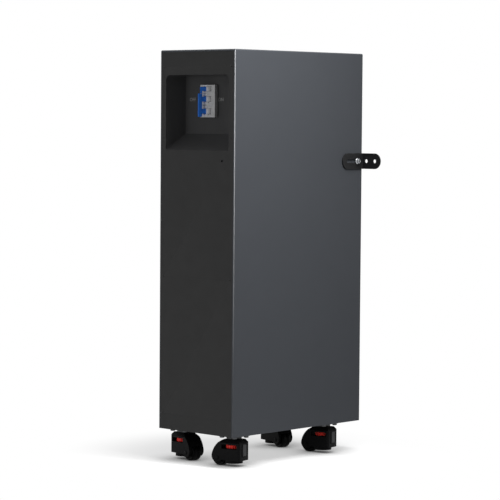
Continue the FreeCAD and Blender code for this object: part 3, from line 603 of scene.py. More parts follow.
@dataclass(frozen=True)
class PlatedSteel(Finish):
    """Plated or blackened steel: fine crystals, faint stains and bright worn edges."""

    edge_color: Color
    roughness: float = 0.36
    metal: float = 1.0
    stain: float = 0.8
    stain_scale: float = 210.0
    stain_span: Span = (0.35, 0.7)
    gloss_span: Span = (-0.08, 0.12)
    gloss_scale: float = 700.0
    crystal_scale: float = 1500.0
    crystal_depth: float = 0.03 * MM
    edge_share: float = 0.7
    edge_radius: float = 0.6 * MM
    edge_soft: float = 0.4 * MM

    def draw(self, sheet: ShaderSheet) -> None:
        """Draws stained plating with worn edges and fine crystals.

        Args:
            sheet: Sheet to draw on.
        """
        stain = sheet.noise(self.stain_scale, detail=5.0, rough=0.65)
        base = sheet.mixed(sheet.remap(stain, *self.stain_span), self.color, shaded(self.color, self.stain))
        worn = sheet.math("MULTIPLY", sheet.edges(self.edge_radius), self.edge_share)
        crystals = sheet.noise(self.crystal_scale)
        sheet.dress({
            "Base Color": sheet.mixed(worn, base, self.edge_color),
            "Metallic": self.metal,
            "Roughness": sheet.clouds(self.gloss_scale, onto=around(self.roughness, self.gloss_span)),
            "Normal": sheet.bump(crystals, self.crystal_depth, sheet.soft_normal(self.edge_soft)),
        })


@dataclass(frozen=True)
class BrushedMetal(Finish):
    """Rolled or extruded metal with fine lines along one axis."""

    along: Axis = Axis.X
    roughness: float = 0.32
    line_scale: float = 900.0
    length_scale: float = 14.0
    line_depth: float = 0.04 * MM
    line_span: Span = (0.35, 0.7)
    line_share: float = 0.35
    line_lift: float = 1.15
    mottle: Span = (0.86, 1.0)
    mottle_scale: float = 30.0
    gloss_span: Span = (-0.07, 0.12)
    edge_soft: float = 0.4 * MM

    def draw(self, sheet: ShaderSheet) -> None:
        """Draws clouded metal with noise that is stretched along the lines.

        Args:
            sheet: Sheet to draw on.
        """
        scale = [self.line_scale] * 3
        # The place of a piece's own z, number 2, in the axis's order is the number of that axis.
        scale[self.along.value.index(2)] = self.length_scale
        mapping = sheet.node("Mapping", {"Vector": sheet.place, "Scale": tuple(scale)})
        lines = sheet.noise(1.0, rough=0.6, place=mapping.outputs["Vector"])
        base = sheet.clouded(self.color, self.mottle, self.mottle_scale)
        bright = sheet.remap(lines, *self.line_span, 0.0, self.line_share)
        sheet.dress({
            "Base Color": sheet.mixed(bright, base, shaded(self.color, self.line_lift)),
            "Metallic": 1.0,
            "Roughness": sheet.remap(lines, *sheet.cloud_span, *around(self.roughness, self.gloss_span)),
            "Normal": sheet.bump(lines, self.line_depth, sheet.soft_normal(self.edge_soft)),
        })


@dataclass(frozen=True)
class SoftPolymer(Finish):
    """Rubber, film or insulating sheet: broad waves, dust in the low places and a dull skin."""

    dust: Color
    roughness: float = 0.7
    wave: float = 45.0
    wave_depth: float = 0.25 * MM
    gloss_span: Span = (-0.08, 0.1)
    dust_scale: float = 260.0
    dust_span: Span = (0.5, 0.8)
    dust_share: float = 0.5
    skin_scale: float = 1300.0
    skin_depth: float = 0.04 * MM

    def draw(self, sheet: ShaderSheet) -> None:
        """Draws a dusty skin on broad waves.

        Args:
            sheet: Sheet to draw on.
        """
        wave = sheet.noise(self.wave)
        specks = sheet.noise(self.dust_scale, detail=5.0, rough=0.7)
        dusty = sheet.remap(specks, *self.dust_span, 0.0, self.dust_share)
        relief = sheet.node("Bump", {"Strength": 1.0, "Distance": self.wave_depth, "Height": wave})
        skin = sheet.noise(self.skin_scale, detail=2.0)
        sheet.dress({
            "Base Color": sheet.mixed(dusty, self.color, self.dust),
            "Roughness": sheet.remap(wave, *sheet.cloud_span, *around(self.roughness, self.gloss_span)),
            "Normal": sheet.bump(skin, self.skin_depth, relief.outputs["Normal"]),
        })


FINISHES: dict[str, Finish] = {
    # Painted light: the wrap's colour is lighter and bluer than the panels' paint, standing in for the
    # light on the right side.
    "cabinet_paint": FoldedCoat((0.062, 0.067, 0.076)),
    "panel_paint": PowderCoat((0.0325, 0.0325, 0.0325), roughness=0.58, edge_share=0.25),
    "base_paint": PowderCoat((0.030, 0.031, 0.033), roughness=0.55),
    "tray_paint": PowderCoat((0.039, 0.039, 0.040), roughness=0.6, edge_share=0.2),
    "bracket_paint": PowderCoat((0.017, 0.017, 0.018), roughness=0.5, edge_radius=0.9 * MM),
    "painted_screws": PowderCoat((0.037, 0.037, 0.038), roughness=0.5, edge_share=0.25,
                                 edge_radius=0.5 * MM),
    "black_screws": PlatedSteel((0.028, 0.028, 0.030), (0.20, 0.20, 0.21), roughness=0.42, metal=0.6),
    "zinc_screws": PlatedSteel((0.58, 0.60, 0.63), (0.85, 0.86, 0.88), roughness=0.3),
    "dark_zinc": PlatedSteel((0.075, 0.077, 0.080), (0.20, 0.20, 0.21), roughness=0.42),
    "zinc_steel": PlatedSteel((0.52, 0.54, 0.57), (0.8, 0.82, 0.84)),
    # The breaker's wide, strong pale rims are a painted edge highlight.
    "breaker_grey": MouldedPlastic((0.56, 0.562, 0.56), roughness=0.42, rim_polish_and_highlight=1.6, edge_share=0.9,
                                   edge_radius=3.0 * MM),
    "toggle_blue": MouldedPlastic((0.020, 0.210, 0.88), roughness=0.36, grain_depth=0.03 * MM,
                                  rim_polish_and_highlight=1.5),
    "board_green": MouldedPlastic((0.012, 0.085, 0.035), roughness=0.38, grain=900.0),
    "button_black": MouldedPlastic((0.005, 0.005, 0.005), roughness=0.5, specular=0.08),
    "insulation": SoftPolymer((0.62, 0.60, 0.55), (0.48, 0.46, 0.42), roughness=0.6),
    "busbar_copper": BrushedMetal((0.80, 0.42, 0.27), along=Axis.Z),
    "plate_aluminium": BrushedMetal((0.66, 0.67, 0.68), along=Axis.Y),
    "bms_aluminium": BrushedMetal((0.60, 0.61, 0.63), along=Axis.Y, roughness=0.38),
    "cell_film": SoftPolymer((0.020, 0.085, 0.30), (0.05, 0.14, 0.38), roughness=0.34, wave=25.0,
                             wave_depth=0.2 * MM),
    "terminal_red": MouldedPlastic((0.42, 0.022, 0.018), roughness=0.4),
    "terminal_black": MouldedPlastic((0.016, 0.016, 0.017), roughness=0.42),
    "socket_black": MouldedPlastic((0.014, 0.014, 0.015), roughness=0.48),
    "caster_plate_black": PlatedSteel((0.030, 0.031, 0.033), (0.16, 0.16, 0.17), roughness=0.45,
                                      metal=0.55),
    "caster_black": MouldedPlastic((0.0050, 0.0050, 0.0053), roughness=0.5, rim_polish_and_highlight=3.0, specular=0.05),
    "wheel_nylon": MouldedPlastic((0.0038, 0.0038, 0.0040), roughness=0.38, rim_polish_and_highlight=2.2, specular=0.05),
    "thumbwheel_red": MouldedPlastic((0.86, 0.035, 0.022), roughness=0.38, rim_polish_and_highlight=1.2),
    # Painted highlight: the heel pad's grey stands in for light on the heel panel's end face.
    "heel_grey": MouldedPlastic((0.042, 0.042, 0.044), roughness=0.5, rim_polish_and_highlight=1.3, specular=0.15),
    "foot_rubber": SoftPolymer((0.017, 0.017, 0.018), (0.045, 0.043, 0.040), roughness=0.82),
    "rotor_grey": MouldedPlastic((0.70, 0.70, 0.72), roughness=0.4, rim_polish_and_highlight=1.1),
    "guide_white": MouldedPlastic((0.93, 0.93, 0.97), roughness=0.4, rim_polish_and_highlight=1.05),
    "label_grey": SoftPolymer((0.26, 0.26, 0.262), (0.21, 0.21, 0.211), roughness=0.5,
                              wave_depth=0.02 * MM),
}


class PaintShop:
    """Makes each material once and puts it on pieces."""

    def __init__(self) -> None:
        """Starts with no material made."""
        self.made: dict[str, bpy.types.Material] = {}

    def coat(self, piece: Piece, finish: str) -> None:
        """Gives a piece one finish over its whole surface.

        Args:
            piece: A new piece or a solid of the frame.
            finish: Name in the list of finishes.
        """
        if finish not in self.made:
            self.made[finish] = FINISHES[finish].material(finish)
        if not piece.material_slots:
            piece.data.materials.append(self.made[finish])
        for slot in piece.material_slots:
            slot.link = "OBJECT"
            slot.material = self.made[finish]


shop = PaintShop()


def seat(piece: Piece, node: str, finish: str, extra: bool = False) -> None:
    """Finishes a piece, sets it on the body of a solid and lets it stand for that solid.

    Args:
        piece: The new piece.
        node: The solid.
        finish: Name in the list of finishes.
        extra: True where the piece is added beside whatever stands for the solid.
    """
    body = frame["nodes"][node]["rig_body"]
    shop.coat(piece, finish)
    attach(piece, body)
    if not extra:
        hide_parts(node)
    log.info("piece %s on %s", piece.name, body)


# Cabinet

@dataclass
class LetterPair:
    """The two printed words beside the breaker, on the back wall of the recess."""

    wall_y: float = -174 * MM
    proud: float = 0.12 * MM
    cap_height: float = 7.8 * MM
    cap_share: float = 0.72
    thinning: float = 0.10 * MM
    centre_z: float = 810.2 * MM
    words: tuple[tuple[str, float], ...] = (("OFF", -53 * MM), ("ON", 33.6 * MM))

    def build(self) -> None:
        """Sets each word as flat ink on the wall."""
        for word, centre_x in self.words:
            seat(self.word(word, centre_x), "recess_tray", "label_grey", extra=True)

    def word(self, text: str, centre_x: float) -> Piece:
        """Turns letters into a thin raised mesh that faces the front.

        Args:
            text: The word.
            centre_x: Middle of the word along X.

        Returns:
            The piece.
        """
        curve = bpy.data.curves.new("word_%s" % text, "FONT")
        curve.body = text
        curve.align_x = "CENTER"
        curve.align_y = "CENTER"
        curve.size = self.cap_height / self.cap_share
        curve.extrude = self.proud
        curve.offset = -self.thinning
        flat = bpy.data.objects.new("word_%s_flat" % text, curve)
        bpy.context.scene.collection.objects.link(flat)
        bpy.context.view_layer.update()
        mesh = bpy.data.meshes.new_from_object(flat)
        bpy.data.objects.remove(flat)
        upright = Matrix.Rotation(math.pi / 2, 4, "X")
        mesh.transform(Matrix.Translation((centre_x, self.wall_y, self.centre_z)) @ upright)
        return in_scene("letters_%s" % text.lower(), mesh)


@dataclass
class Cabinet:
    """Sheet metal, rail, reset board and inner pack, which keep the form of their solids."""

    edge_round: float = 0.3 * MM
    finishes: dict[str, str] = field(default_factory=lambda: {
        "body_wrap": "cabinet_paint", "front_panel": "panel_paint", "rear_panel": "panel_paint",
        "base_tray": "base_paint", "recess_tray": "tray_paint", "terminal_bay": "tray_paint",
        "din_rail": "zinc_steel", "reset_board": "board_green", "cell_separators": "insulation",
        "cell_busbars": "busbar_copper", "pack_end_plates": "plate_aluminium",
        "pack_tie_rods": "zinc_steel", "bms_module": "bms_aluminium",
    })
    folded: tuple[str, ...] = ("body_wrap", "front_panel", "rear_panel", "recess_tray", "terminal_bay")
    layers: int = 8

    def build(self) -> None:
        """Finishes every plain solid and rounds the sheared edges of the sheets."""
        for node, finish in self.finishes.items():
            shop.coat(frame["nodes"][node], finish)
        for layer in range(self.layers):
            shop.coat(frame["nodes"]["cells_layer_%d" % (layer + 1)], "cell_film")
        for node in self.folded:
            seat(softened_copy(node, "%s_sheet" % node, self.edge_round), node, self.finishes[node])
        LetterPair().build()


@dataclass
class FlushScrews:
    """Sixteen countersunk M4 screws of the front and rear panels, each with a hexagon socket."""

    side_x: float = 103.5 * MM
    heights: tuple[float, ...] = (106.6 * MM, 416 * MM, 726 * MM, 882 * MM)
    face_y: float = 215 * MM
    head_radius: float = 3.6 * MM
    head_flat: float = 3.4 * MM
    head_edge: float = 0.12 * MM
    shank_radius: float = 2.0 * MM
    tip_radius: float = 1.4 * MM
    tip_length: float = 0.6 * MM
    sheet: float = 1.5 * MM
    length: float = 9.0 * MM
    socket_across: float = 2.5 * MM
    socket_corner: float = 0.05 * MM
    socket_depth: float = 1.3 * MM
    socket_cone: float = 0.3 * MM
    socket_taper: float = 0.86
    socket_flare: float = 1.1
    socket_lip: float = 0.15 * MM

    def build(self) -> None:
        """Makes all sixteen as one piece."""
        shells = []
        for inward in (1, -1):
            for side in Side:
                for height in self.heights:
                    shells.append(self.screw(side.value * self.side_x, height, inward))
        seat(solid_from("panel_screw_set", shells), "panel_screws", "painted_screws")

    def screw(self, x: float, z: float, inward: int) -> Shell:
        """Rings from the socket's hexagon to the circles of the head and the shank.

        Args:
            x: Centre along X.
            z: Centre along Z.
            inward: 1 where the screw points to the rear, -1 where it points to the front.

        Returns:
            The points and the quads of the shell.
        """
        hexagon = hexagon_outline(self.socket_across, self.socket_corner)
        turn = np.arctan2(hexagon[:, 1], hexagon[:, 0])
        circle = np.stack([np.cos(turn), np.sin(turn)], axis=-1)
        rings = [
            (hexagon * 0.0, self.socket_depth + self.socket_cone),
            (hexagon * self.socket_taper, self.socket_depth),
            (hexagon, self.socket_lip), (hexagon * self.socket_flare, 0.0), (circle * self.head_flat, 0.0),
            (circle * self.head_radius, self.head_edge), (circle * self.shank_radius, self.sheet),
            (circle * self.shank_radius, self.length - self.tip_length),
            (circle * self.tip_radius, self.length), (circle * 0.0, self.length),
        ]
        rings = [(outline, inward * depth) for outline, depth in rings]
        return lofted(rings, Axis.FRONT, (x, -inward * self.face_y, z))


# Breaker and reset button

@dataclass
class Breaker:
    """Three grey modules with their pale slot plates, printed marks, grey rotors and blue toggles.

    Layers in pairs hold a factor on the outline and a height: in millimetres for the plates,
    and as a share of its length for the stem. The rotor's rim holds radius and height.
    """

    face_y: float = -182 * MM
    pivot_y: float = -173 * MM
    low: float = 771 * MM
    pole: float = 27 * MM
    aux: float = 18 * MM
    swing: float = math.radians(38)
    edge_round: float = 0.45 * MM
    outline_steps: int = 64
    rotor_radius: float = 10 * MM
    rotor_width: float = 12 * MM
    rotor_steps: int = 144
    rotor_ribs: int = 48
    rib_share: float = 0.012
    rim: Pairs = ((-0.8, 0.0), (-0.24, 0.24), (0.0, 0.8))
    aux_width: float = 10 * MM
    aux_reach: float = 23 * MM
    aux_slot: float = 10.7 * MM
    reach: float = 27.5 * MM
    stem: float = 4.5 * MM
    stem_square: Span = (0.3, 0.15)
    stem_steps: int = 48
    stem_layers: Pairs = ((0.0, 0.0), (1.0, 0.0), (0.96, 0.5), (0.9, 0.94), (0.8, 1.0), (0.0, 1.0))
    bar_depth: float = 9 * MM
    bar_thickness: float = 6 * MM
    bar_square: Span = (0.5, 0.45)
    bar_rows: int = 120
    bar_end: float = 1.6 * MM
    bar_end_rows: int = 7
    bar_end_share: float = 0.28
    end_gap: float = 1.0 * MM
    grip_depth: float = 0.3 * MM
    grip_pitch: float = 3.2 * MM
    grip_share: float = 0.55
    grip_clear: float = 8 * MM
    tab_lap: float = 1 * MM
    tab_depth: float = 4.6 * MM
    slot_height: float = 12.7 * MM
    plate_left: float = -14.0 * MM
    plate_right: float = -2.6 * MM
    plate_gap: float = 0.5 * MM
    plate_layers: Pairs = ((0.0, 0.1), (1.0, 0.1), (1.0, -0.18), (0.98, -0.27), (0.95, -0.3), (0.0, -0.3))
    plate_square: Span = (0.16, 0.16)
    pole_plate: float = 5.2 * MM
    aux_plate: float = 3.0 * MM
    mark_x: float = 3.6 * MM
    mark_drop: float = 9.2 * MM
    mark_width: float = 1.5 * MM
    mark_height: float = 3.2 * MM
    mark_slant: float = 0.9 * MM
    mark_depth: float = 0.1 * MM
    mark_sunk: float = 0.02 * MM

    def build(self) -> None:
        """Builds housings, slot plates, marks, the handle and the auxiliary lever."""
        for node in ("breaker_lower_pole", "breaker_upper_pole", "breaker_aux_module"):
            seat(softened_copy(node, "%s_housing" % node, self.edge_round, 3), node, "breaker_grey")
        centres = (self.low + self.pole / 2, self.low + 1.5 * self.pole)
        aux_centre = self.low + 2 * self.pole + self.aux / 2
        slots = [(centre, self.pole_plate, self.slot_height) for centre in centres]
        slots.append((aux_centre, self.aux_plate, self.aux_slot))
        plates = []
        for centre, height, slot in slots:
            for way in (-1, 1):
                away = (slot + height + self.plate_gap) / 2
                plates.append(self.slot_plate(centre + way * away, height))
        nose = "breaker_lower_pole"
        slot_plates = solid_from("breaker_slot_plates", plates)
        seat(slot_plates, nose, "guide_white", extra=True)
        marks = [self.mark(centre - self.mark_drop) for centre in centres]
        seat(solid_from("breaker_marks", marks), nose, "button_black", extra=True)
        rotors = [self.rotor(centre, self.rotor_width) for centre in centres]
        aux_rotor = [self.rotor(aux_centre, self.aux_width)]
        self.set_toggle("handle_rotors", rotors, "breaker_handle", rotor=True)
        self.set_toggle("handle_with_grip_bar", self.handle(centres), "breaker_handle")
        self.set_toggle("aux_lever_rotor", aux_rotor, "breaker_aux_lever", rotor=True)
        self.set_toggle("aux_lever_with_tab", self.lever(aux_centre), "breaker_aux_lever")

    def set_toggle(self, name: str, shells: list[Shell], node: str, rotor: bool = False) -> None:
        """Makes a piece that points straight ahead, turns it to OFF on the left and seats it.

        Args:
            name: Name of the piece.
            shells: Its shells.
            node: The toggle's solid.
            rotor: True for a grey rotor, which is added beside the blue toggle.
        """
        piece = solid_from(name, shells)
        centre = Matrix.Translation((0.0, self.pivot_y, 0.0))
        piece.data.transform(centre @ Matrix.Rotation(-self.swing, 4, "Z") @ centre.inverted())
        if rotor:
            seat(piece, node, "rotor_grey", extra=True)
        else:
            seat(piece, node, "toggle_blue")

    def slot_plate(self, centre_z: float, height: float) -> Shell:
        """A low plate beside a slot: a superellipse in layers that rise from the nose and round over.

        Args:
            centre_z: Middle of the plate.
            height: Height of the plate.

        Returns:
            The points and the quads of the shell.
        """
        half = (self.plate_right - self.plate_left) / 2
        outline = superellipse(half, height / 2, self.plate_square, self.outline_steps)
        centre = ((self.plate_left + self.plate_right) / 2, self.face_y, centre_z)
        return stacked(outline, layered(self.plate_layers), Axis.FRONT, centre)

    def mark(self, low_z: float) -> Shell:
        """A short slanted stroke printed on the nose: a thin slab sheared along X.

        Args:
            low_z: Lower end of the stroke.

        Returns:
            The points and the quads of the shell.
        """
        slab = np.array([[-0.5, 0.0], [0.5, 0.0], [0.5, -1.0], [-0.5, -1.0]])
        slab = slab * (self.mark_width, self.mark_depth)
        upper = slab + (self.mark_slant, 0.0)
        ends = [np.repeat(outline.mean(axis=0, keepdims=True), 4, axis=0) for outline in (slab, upper)]
        rings = [(ends[0], 0.0), (slab, 0.0), (upper, self.mark_height), (ends[1], self.mark_height)]
        return lofted(rings, Axis.Z, (self.mark_x, self.face_y + self.mark_sunk, low_z))

    def rotor(self, centre_z: float, width: float) -> Shell:
        """The round rotor: a disc with rounded rims and fine ribs round it.

        Args:
            centre_z: Middle of the disc.
            width: Its width along Z.

        Returns:
            The points and the quads of the shell.
        """
        high_rim = tuple((across, -up) for across, up in reversed(self.rim))
        rims = offset(self.rim, self.rotor_radius, 0.0) + offset(high_rim, self.rotor_radius, width)
        ribbed = np.array([[0, 0, 0, 1, 1, 0, 0, 0]]).T  # only the two points of full radius
        wave = 0.5 + 0.5 * np.cos(self.rotor_ribs * round_turn(self.rotor_steps))
        return revolved([(0.0, 0.0), *rims, (0.0, width)], self.rotor_steps, Axis.Z,
                        (0.0, self.pivot_y, centre_z - width / 2), 1.0 - self.rib_share * wave * ribbed)

    def stem_shell(self, centre_z: float, width: float, tip: float) -> Shell:
        """A flat stem carried forward: a rounded rectangle that narrows by a fifth to its tip.

        Args:
            centre_z: Middle of the stem.
            width: Its width along Z.
            tip: Its length from the pivot.

        Returns:
            The points and the quads of the shell.
        """
        outline = superellipse(self.stem / 2, width / 2, self.stem_square, self.stem_steps)
        layers = [(share, -way * tip) for share, way in self.stem_layers]
        return stacked(outline, layers, Axis.FRONT, (0.0, self.pivot_y, centre_z))

    def bar_shell(self, low_z: float, high_z: float) -> Shell:
        """The grip bar: a superellipse carried along Z, with grip grooves in front and rounded ends.

        The section shrinks along a quarter circle over each end, and the front dips where the
        cosine of the height over the grooves' pitch is high.

        Args:
            low_z: Lower end of the bar.
            high_z: Upper end of the bar.

        Returns:
            The points and the quads of the shell.
        """
        length = high_z - low_z
        bend = np.linspace(0.0, math.pi / 2, self.bar_end_rows)
        way = np.concatenate([[0.0], 1.0 - np.cos(bend)]) * self.bar_end
        middle = np.linspace(self.bar_end, length - self.bar_end, self.bar_rows)[1:-1]
        heights = np.concatenate([way, middle, length - way[::-1]])
        near_end = np.minimum(heights, length - heights)
        rounding = np.sqrt(1.0 - (1.0 - np.clip(near_end / self.bar_end, 0.0, 1.0)) ** 2)
        share = 1.0 - self.bar_end_share * (1.0 - rounding)
        share[0] = share[-1] = 0.0
        wave = np.cos(heights / self.grip_pitch * FULL_TURN)
        groove = self.grip_depth * (wave > self.grip_share) * (near_end > self.grip_clear)
        half_x, half_y = self.bar_thickness / 2, self.bar_depth / 2
        outline = superellipse(half_x, half_y, self.bar_square, self.outline_steps)
        sections = share[:, None, None] * outline
        sections[..., 1] += groove[:, None] * (outline[:, 1] < 0)
        centre = (0.0, self.pivot_y - self.reach + half_y, low_z)
        return lofted(list(zip(sections, heights)), Axis.Z, centre)

    def handle(self, centres: tuple[float, float]) -> list[Shell]:
        """Both stems with their grip bar."""
        tip = self.reach - self.bar_depth / 2
        bar = self.bar_shell(self.low + self.end_gap, self.low + 2 * self.pole - self.end_gap)
        return [bar] + [self.stem_shell(centre, self.rotor_width, tip) for centre in centres]

    def lever(self, centre: float) -> list[Shell]:
        """The shorter auxiliary toggle with its coupling tab, a stem of which only the front end is kept.

        Args:
            centre: Middle of the auxiliary module.

        Returns:
            The shells of the toggle and of the tab.
        """
        low = self.low + 2 * self.pole - self.end_gap
        high = centre - self.aux_width / 2 + self.tab_lap
        points, faces = self.stem_shell((low + high) / 2, high - low, self.aux_reach)
        points[..., 1] = np.minimum(points[..., 1], self.pivot_y - self.aux_reach + self.tab_depth)
        return [self.stem_shell(centre, self.aux_width, self.aux_reach), (points, faces)]


@dataclass
class ResetButton:
    """The black plunger behind the small round hole."""

    x: float = 76.8 * MM
    z: float = 675.7 * MM
    tip_y: float = -212.6 * MM
    length: float = 9.6 * MM
    radius: float = 1.9 * MM
    dome: float = 0.7 * MM
    dome_rows: int = 8
    edge: float = 0.2 * MM
    steps: int = 40

    def build(self) -> None:
        """A pin with a domed tip: the radius follows a quarter circle at the front."""
        bend = np.linspace(0.0, math.pi / 2, self.dome_rows)
        profile = [(self.radius * math.sin(turn), self.dome * (1.0 - math.cos(turn))) for turn in bend]
        profile += [(self.radius, self.length - self.edge), (self.radius - self.edge, self.length),
                    (0.0, self.length)]
        pin = revolved(profile, self.steps, Axis.Y, (self.x, self.tip_y, self.z))
        seat(solid_from("reset_plunger_pin", [pin]), "reset_button", "button_black")


# Levelling casters

@dataclass
class CasterPlace:
    """Where one caster stands: its swivel axis and the way its wheel points."""

    name: str
    side: Side
    y: float
    reach: float = 77 * MM
    toe_in: float = math.radians(10)

    def world(self, points: np.ndarray) -> np.ndarray:
        """Turns points made with the wheel towards +X about Z and moves them to the corner.

        Args:
            points: Array of points whose last index is x, y, z.

        Returns:
            The placed points.
        """
        turn = math.pi + self.toe_in if self.side is Side.RIGHT else -self.toe_in
        spin = np.array([[math.cos(turn), math.sin(turn), 0.0],
                         [-math.sin(turn), math.cos(turn), 0.0],
                         [0.0, 0.0, 1.0]])
        return points @ spin + np.array([self.side.value * self.reach, self.y, 0.0])


@dataclass
class Caster:
    """One levelling caster: plate, moulded body, nylon wheel on its axle, thumbwheel and rubber foot.

    A profile in pairs holds radius and height in millimetres, measured from the sizes that
    the method passes with it.
    """

    place: CasterPlace
    plate_round: float = 0.3 * MM
    body_round: float = 0.5 * MM
    body_half: float = 20 * MM
    outline_steps: int = 64
    wheel_radius: float = 18 * MM
    wheel_half: float = 11.5 * MM
    wheel_steps: int = 96
    trail: float = 32.2 * MM
    bore_lip: Pairs = ((0.06, -0.5), (0.6, 0.0))
    hub_radius: float = 9.5 * MM
    hub_ring: Pairs = ((-1.6, 0.0), (-1.1, -0.4), (-0.6, -1.6), (2.6, -1.6), (3.4, -0.3), (3.9, 0.0))
    shoulder_rows: int = 7
    shoulder_depth: float = 1.5 * MM
    shoulder_width: float = 3.0 * MM
    tread_groove: Pairs = ((0.0, 0.9), (-0.12, 0.5))
    axle_radius: float = 3 * MM
    axle_steps: int = 48
    axle_head: float = 4.5 * MM
    axle_head_length: float = 1.2 * MM
    axle_dimple: Pairs = ((0.0, -0.5), (0.8, -0.1), (1.2, 0.0))
    axle_dome: Pairs = ((-1.4, 0.0), (-0.5, -0.25), (0.0, -0.7), (0.0, -1.2))
    thumb_radius: float = 17.5 * MM
    thumb_low: float = 39.75 * MM
    thumb_high: float = 47.75 * MM
    thumb_under: Pairs = ((-3.0, 0.0), (-0.9, 0.0), (-0.27, 0.27), (0.0, 0.9), (0.0, 4.0))
    thumb_over: Pairs = ((0.0, -0.9), (-0.27, -0.27), (-0.9, 0.0), (-3.0, 0.0), (-3.4, -0.6), (-7.0, -0.6),
                         (-7.6, 0.0))
    notches: int = 18
    notch_steps: int = 24
    notch_depth: float = 1.6 * MM
    notch_width: float = 2.6 * MM
    stud_radius: float = 5 * MM
    stud_gap: float = 0.08 * MM
    stud_low: float = 12.5 * MM
    stud_high: float = 52.4 * MM
    stud_rows: int = 220
    stud_columns: int = 36
    thread_pitch: float = 1.5 * MM
    thread_depth: float = 0.7 * MM
    foot_radius: float = 12 * MM
    foot_low: float = 6.5 * MM
    foot_rings: int = 4
    foot_ring_first: float = 1.5
    foot_ring_pitch: float = 2.5
    foot_ring: Pairs = ((0.0, 0.5), (0.3, 0.0), (1.6, 0.0), (1.9, 0.5))
    foot_rim: Pairs = ((-0.5, 0.1), (-0.1, 0.5), (0.0, 1.0), (0.0, 3.5), (-3.0, 6.7), (-3.3, 7.0),
                       (-12.0, 7.0))
    heel_face: float = -28.2 * MM
    heel_width: float = 13 * MM
    heel_low: float = 24 * MM
    heel_high: float = 49.5 * MM
    heel_square: Span = (0.25, 0.15)
    heel_layers: Pairs = ((0.0, 0.2), (1.0, 0.2), (1.0, -0.1), (0.98, -0.2), (0.0, -0.2))

    def build(self) -> None:
        """Builds and seats the pieces of this caster."""
        self.soften("pressed_plate", "plate", "caster_plate_black", self.plate_round, 2)
        self.soften("moulded_body", "body", "caster_black", self.body_round, 3)
        self.put("nylon_wheel", self.wheel(), "wheel", "wheel_nylon")
        self.put("riveted_axle", self.axle(), "axle", "wheel_nylon")
        # Painted highlight: a pale grey pad on the heel panel's end face.
        self.put("heel_pad", self.heel_pad(), "body", "heel_grey", extra=True)
        self.put("notched_thumbwheel", self.disc(), "thumbwheel", "thumbwheel_red")
        self.put("ribbed_foot", self.foot(), "foot", "foot_rubber")
        self.put("threaded_stud", self.stud(), "foot", "zinc_steel", extra=True)

    def node(self, piece: str) -> str:
        """Name of one of this caster's solids."""
        return "caster_%s_%s" % (self.place.name, piece)

    def soften(self, piece: str, node: str, finish: str, width: float, segments: int) -> None:
        """Seats a softened copy of one of this caster's solids in its place."""
        copy = softened_copy(self.node(node), "%s_%s" % (piece, self.place.name), width, segments)
        seat(copy, self.node(node), finish)

    def put(self, piece: str, shell: Shell, node: str, finish: str, extra: bool = False) -> None:
        """Places a shell at this caster, makes a piece of it and seats it.

        Args:
            piece: Name of the piece, without the caster's.
            shell: Its points and quads, with the wheel towards +X.
            node: The solid of this caster that it goes with.
            finish: Name in the list of finishes.
            extra: True where it is added beside whatever stands for the solid.
        """
        points, faces = shell
        placed = solid_from("%s_%s" % (piece, self.place.name), [(self.place.world(points), faces)])
        seat(placed, self.node(node), finish, extra)

    def wheel(self) -> Shell:
        """A mirrored profile turned about the axle: flat tread, rounded shoulders, dished ring and hub."""
        half = self.wheel_half
        bend = np.linspace(0.0, math.pi / 2, self.shoulder_rows)
        shoulder = [(self.wheel_radius - self.shoulder_depth * (1.0 - math.sin(turn)),
                     half - self.shoulder_width * (1.0 - math.cos(turn))) for turn in bend]
        face = offset(self.bore_lip, self.axle_radius, half) + offset(self.hub_ring, self.hub_radius, half)
        upper = face + shoulder + offset(self.tread_groove, self.wheel_radius, 0.0)
        return self.about_axle(upper, self.wheel_steps)

    def about_axle(self, upper: Profile, steps: int) -> Shell:
        """Half a profile and its mirror image, turned about the axle."""
        profile = upper + [(radius, -height) for radius, height in reversed(upper)]
        return revolved(profile, steps, Axis.Y, (self.trail, 0.0, self.wheel_radius))

    def axle(self) -> Shell:
        """A pin with a low domed head at each end, each with a centre dimple."""
        top = self.body_half + self.axle_head_length
        end = offset(self.axle_dimple, 0.0, top) + offset(self.axle_dome, self.axle_head, top)
        return self.about_axle(end + [(self.axle_radius, self.body_half)], self.axle_steps)

    def disc(self) -> Shell:
        """The notched disc: between the rims the radius dips by a half circle at each notch."""
        bore = self.stud_radius + self.stud_gap
        profile = [(bore, self.thumb_low), *offset(self.thumb_under, self.thumb_radius, self.thumb_low),
                   *offset(self.thumb_over, self.thumb_radius, self.thumb_high), (bore, self.thumb_high),
                   (bore, self.thumb_low)]
        steps = self.notches * self.notch_steps
        pitch = FULL_TURN / self.notches
        away = np.abs((round_turn(steps) + pitch / 2) % pitch - pitch / 2) * self.thumb_radius
        dip = np.sqrt(np.clip(1.0 - (away / (self.notch_width / 2)) ** 2, 0.0, 1.0))
        notched = np.zeros((len(profile), 1))
        # Points 2 to 8 run from the lower edge of the rim to the upper one.
        notched[2:9] = self.notch_depth / self.thumb_radius
        return revolved(profile, steps, Axis.Z, (0.0, 0.0, 0.0), 1.0 - notched * dip)

    def stud(self) -> Shell:
        """The foot's threaded stud: the radius is a triangle wave of height over pitch plus turn."""
        height = np.linspace(self.stud_low, self.stud_high, self.stud_rows)[:, None]
        turn = round_turn(self.stud_columns)
        phase = (height / self.thread_pitch - turn / FULL_TURN) % 1.0
        radius = self.stud_radius - self.thread_depth * np.abs(2.0 * phase - 1.0)
        radius[0] = radius[-1] = 0.0
        height = np.broadcast_to(height, radius.shape)
        points = np.stack([radius * np.cos(turn), radius * np.sin(turn), height], axis=-1)
        return points, grid_faces(self.stud_rows, self.stud_columns)

    def heel_pad(self) -> Shell:
        """A pale pad on the heel panel that paints its highlight: a superellipse in layers that round over
        at the face.
        """
        half = (self.heel_high - self.heel_low) / 2
        outline = superellipse(self.heel_width / 2, half, self.heel_square, self.outline_steps)
        centre = (self.heel_face, 0.0, self.heel_low + half)
        return stacked(outline, layered(self.heel_layers), Axis.X, centre)

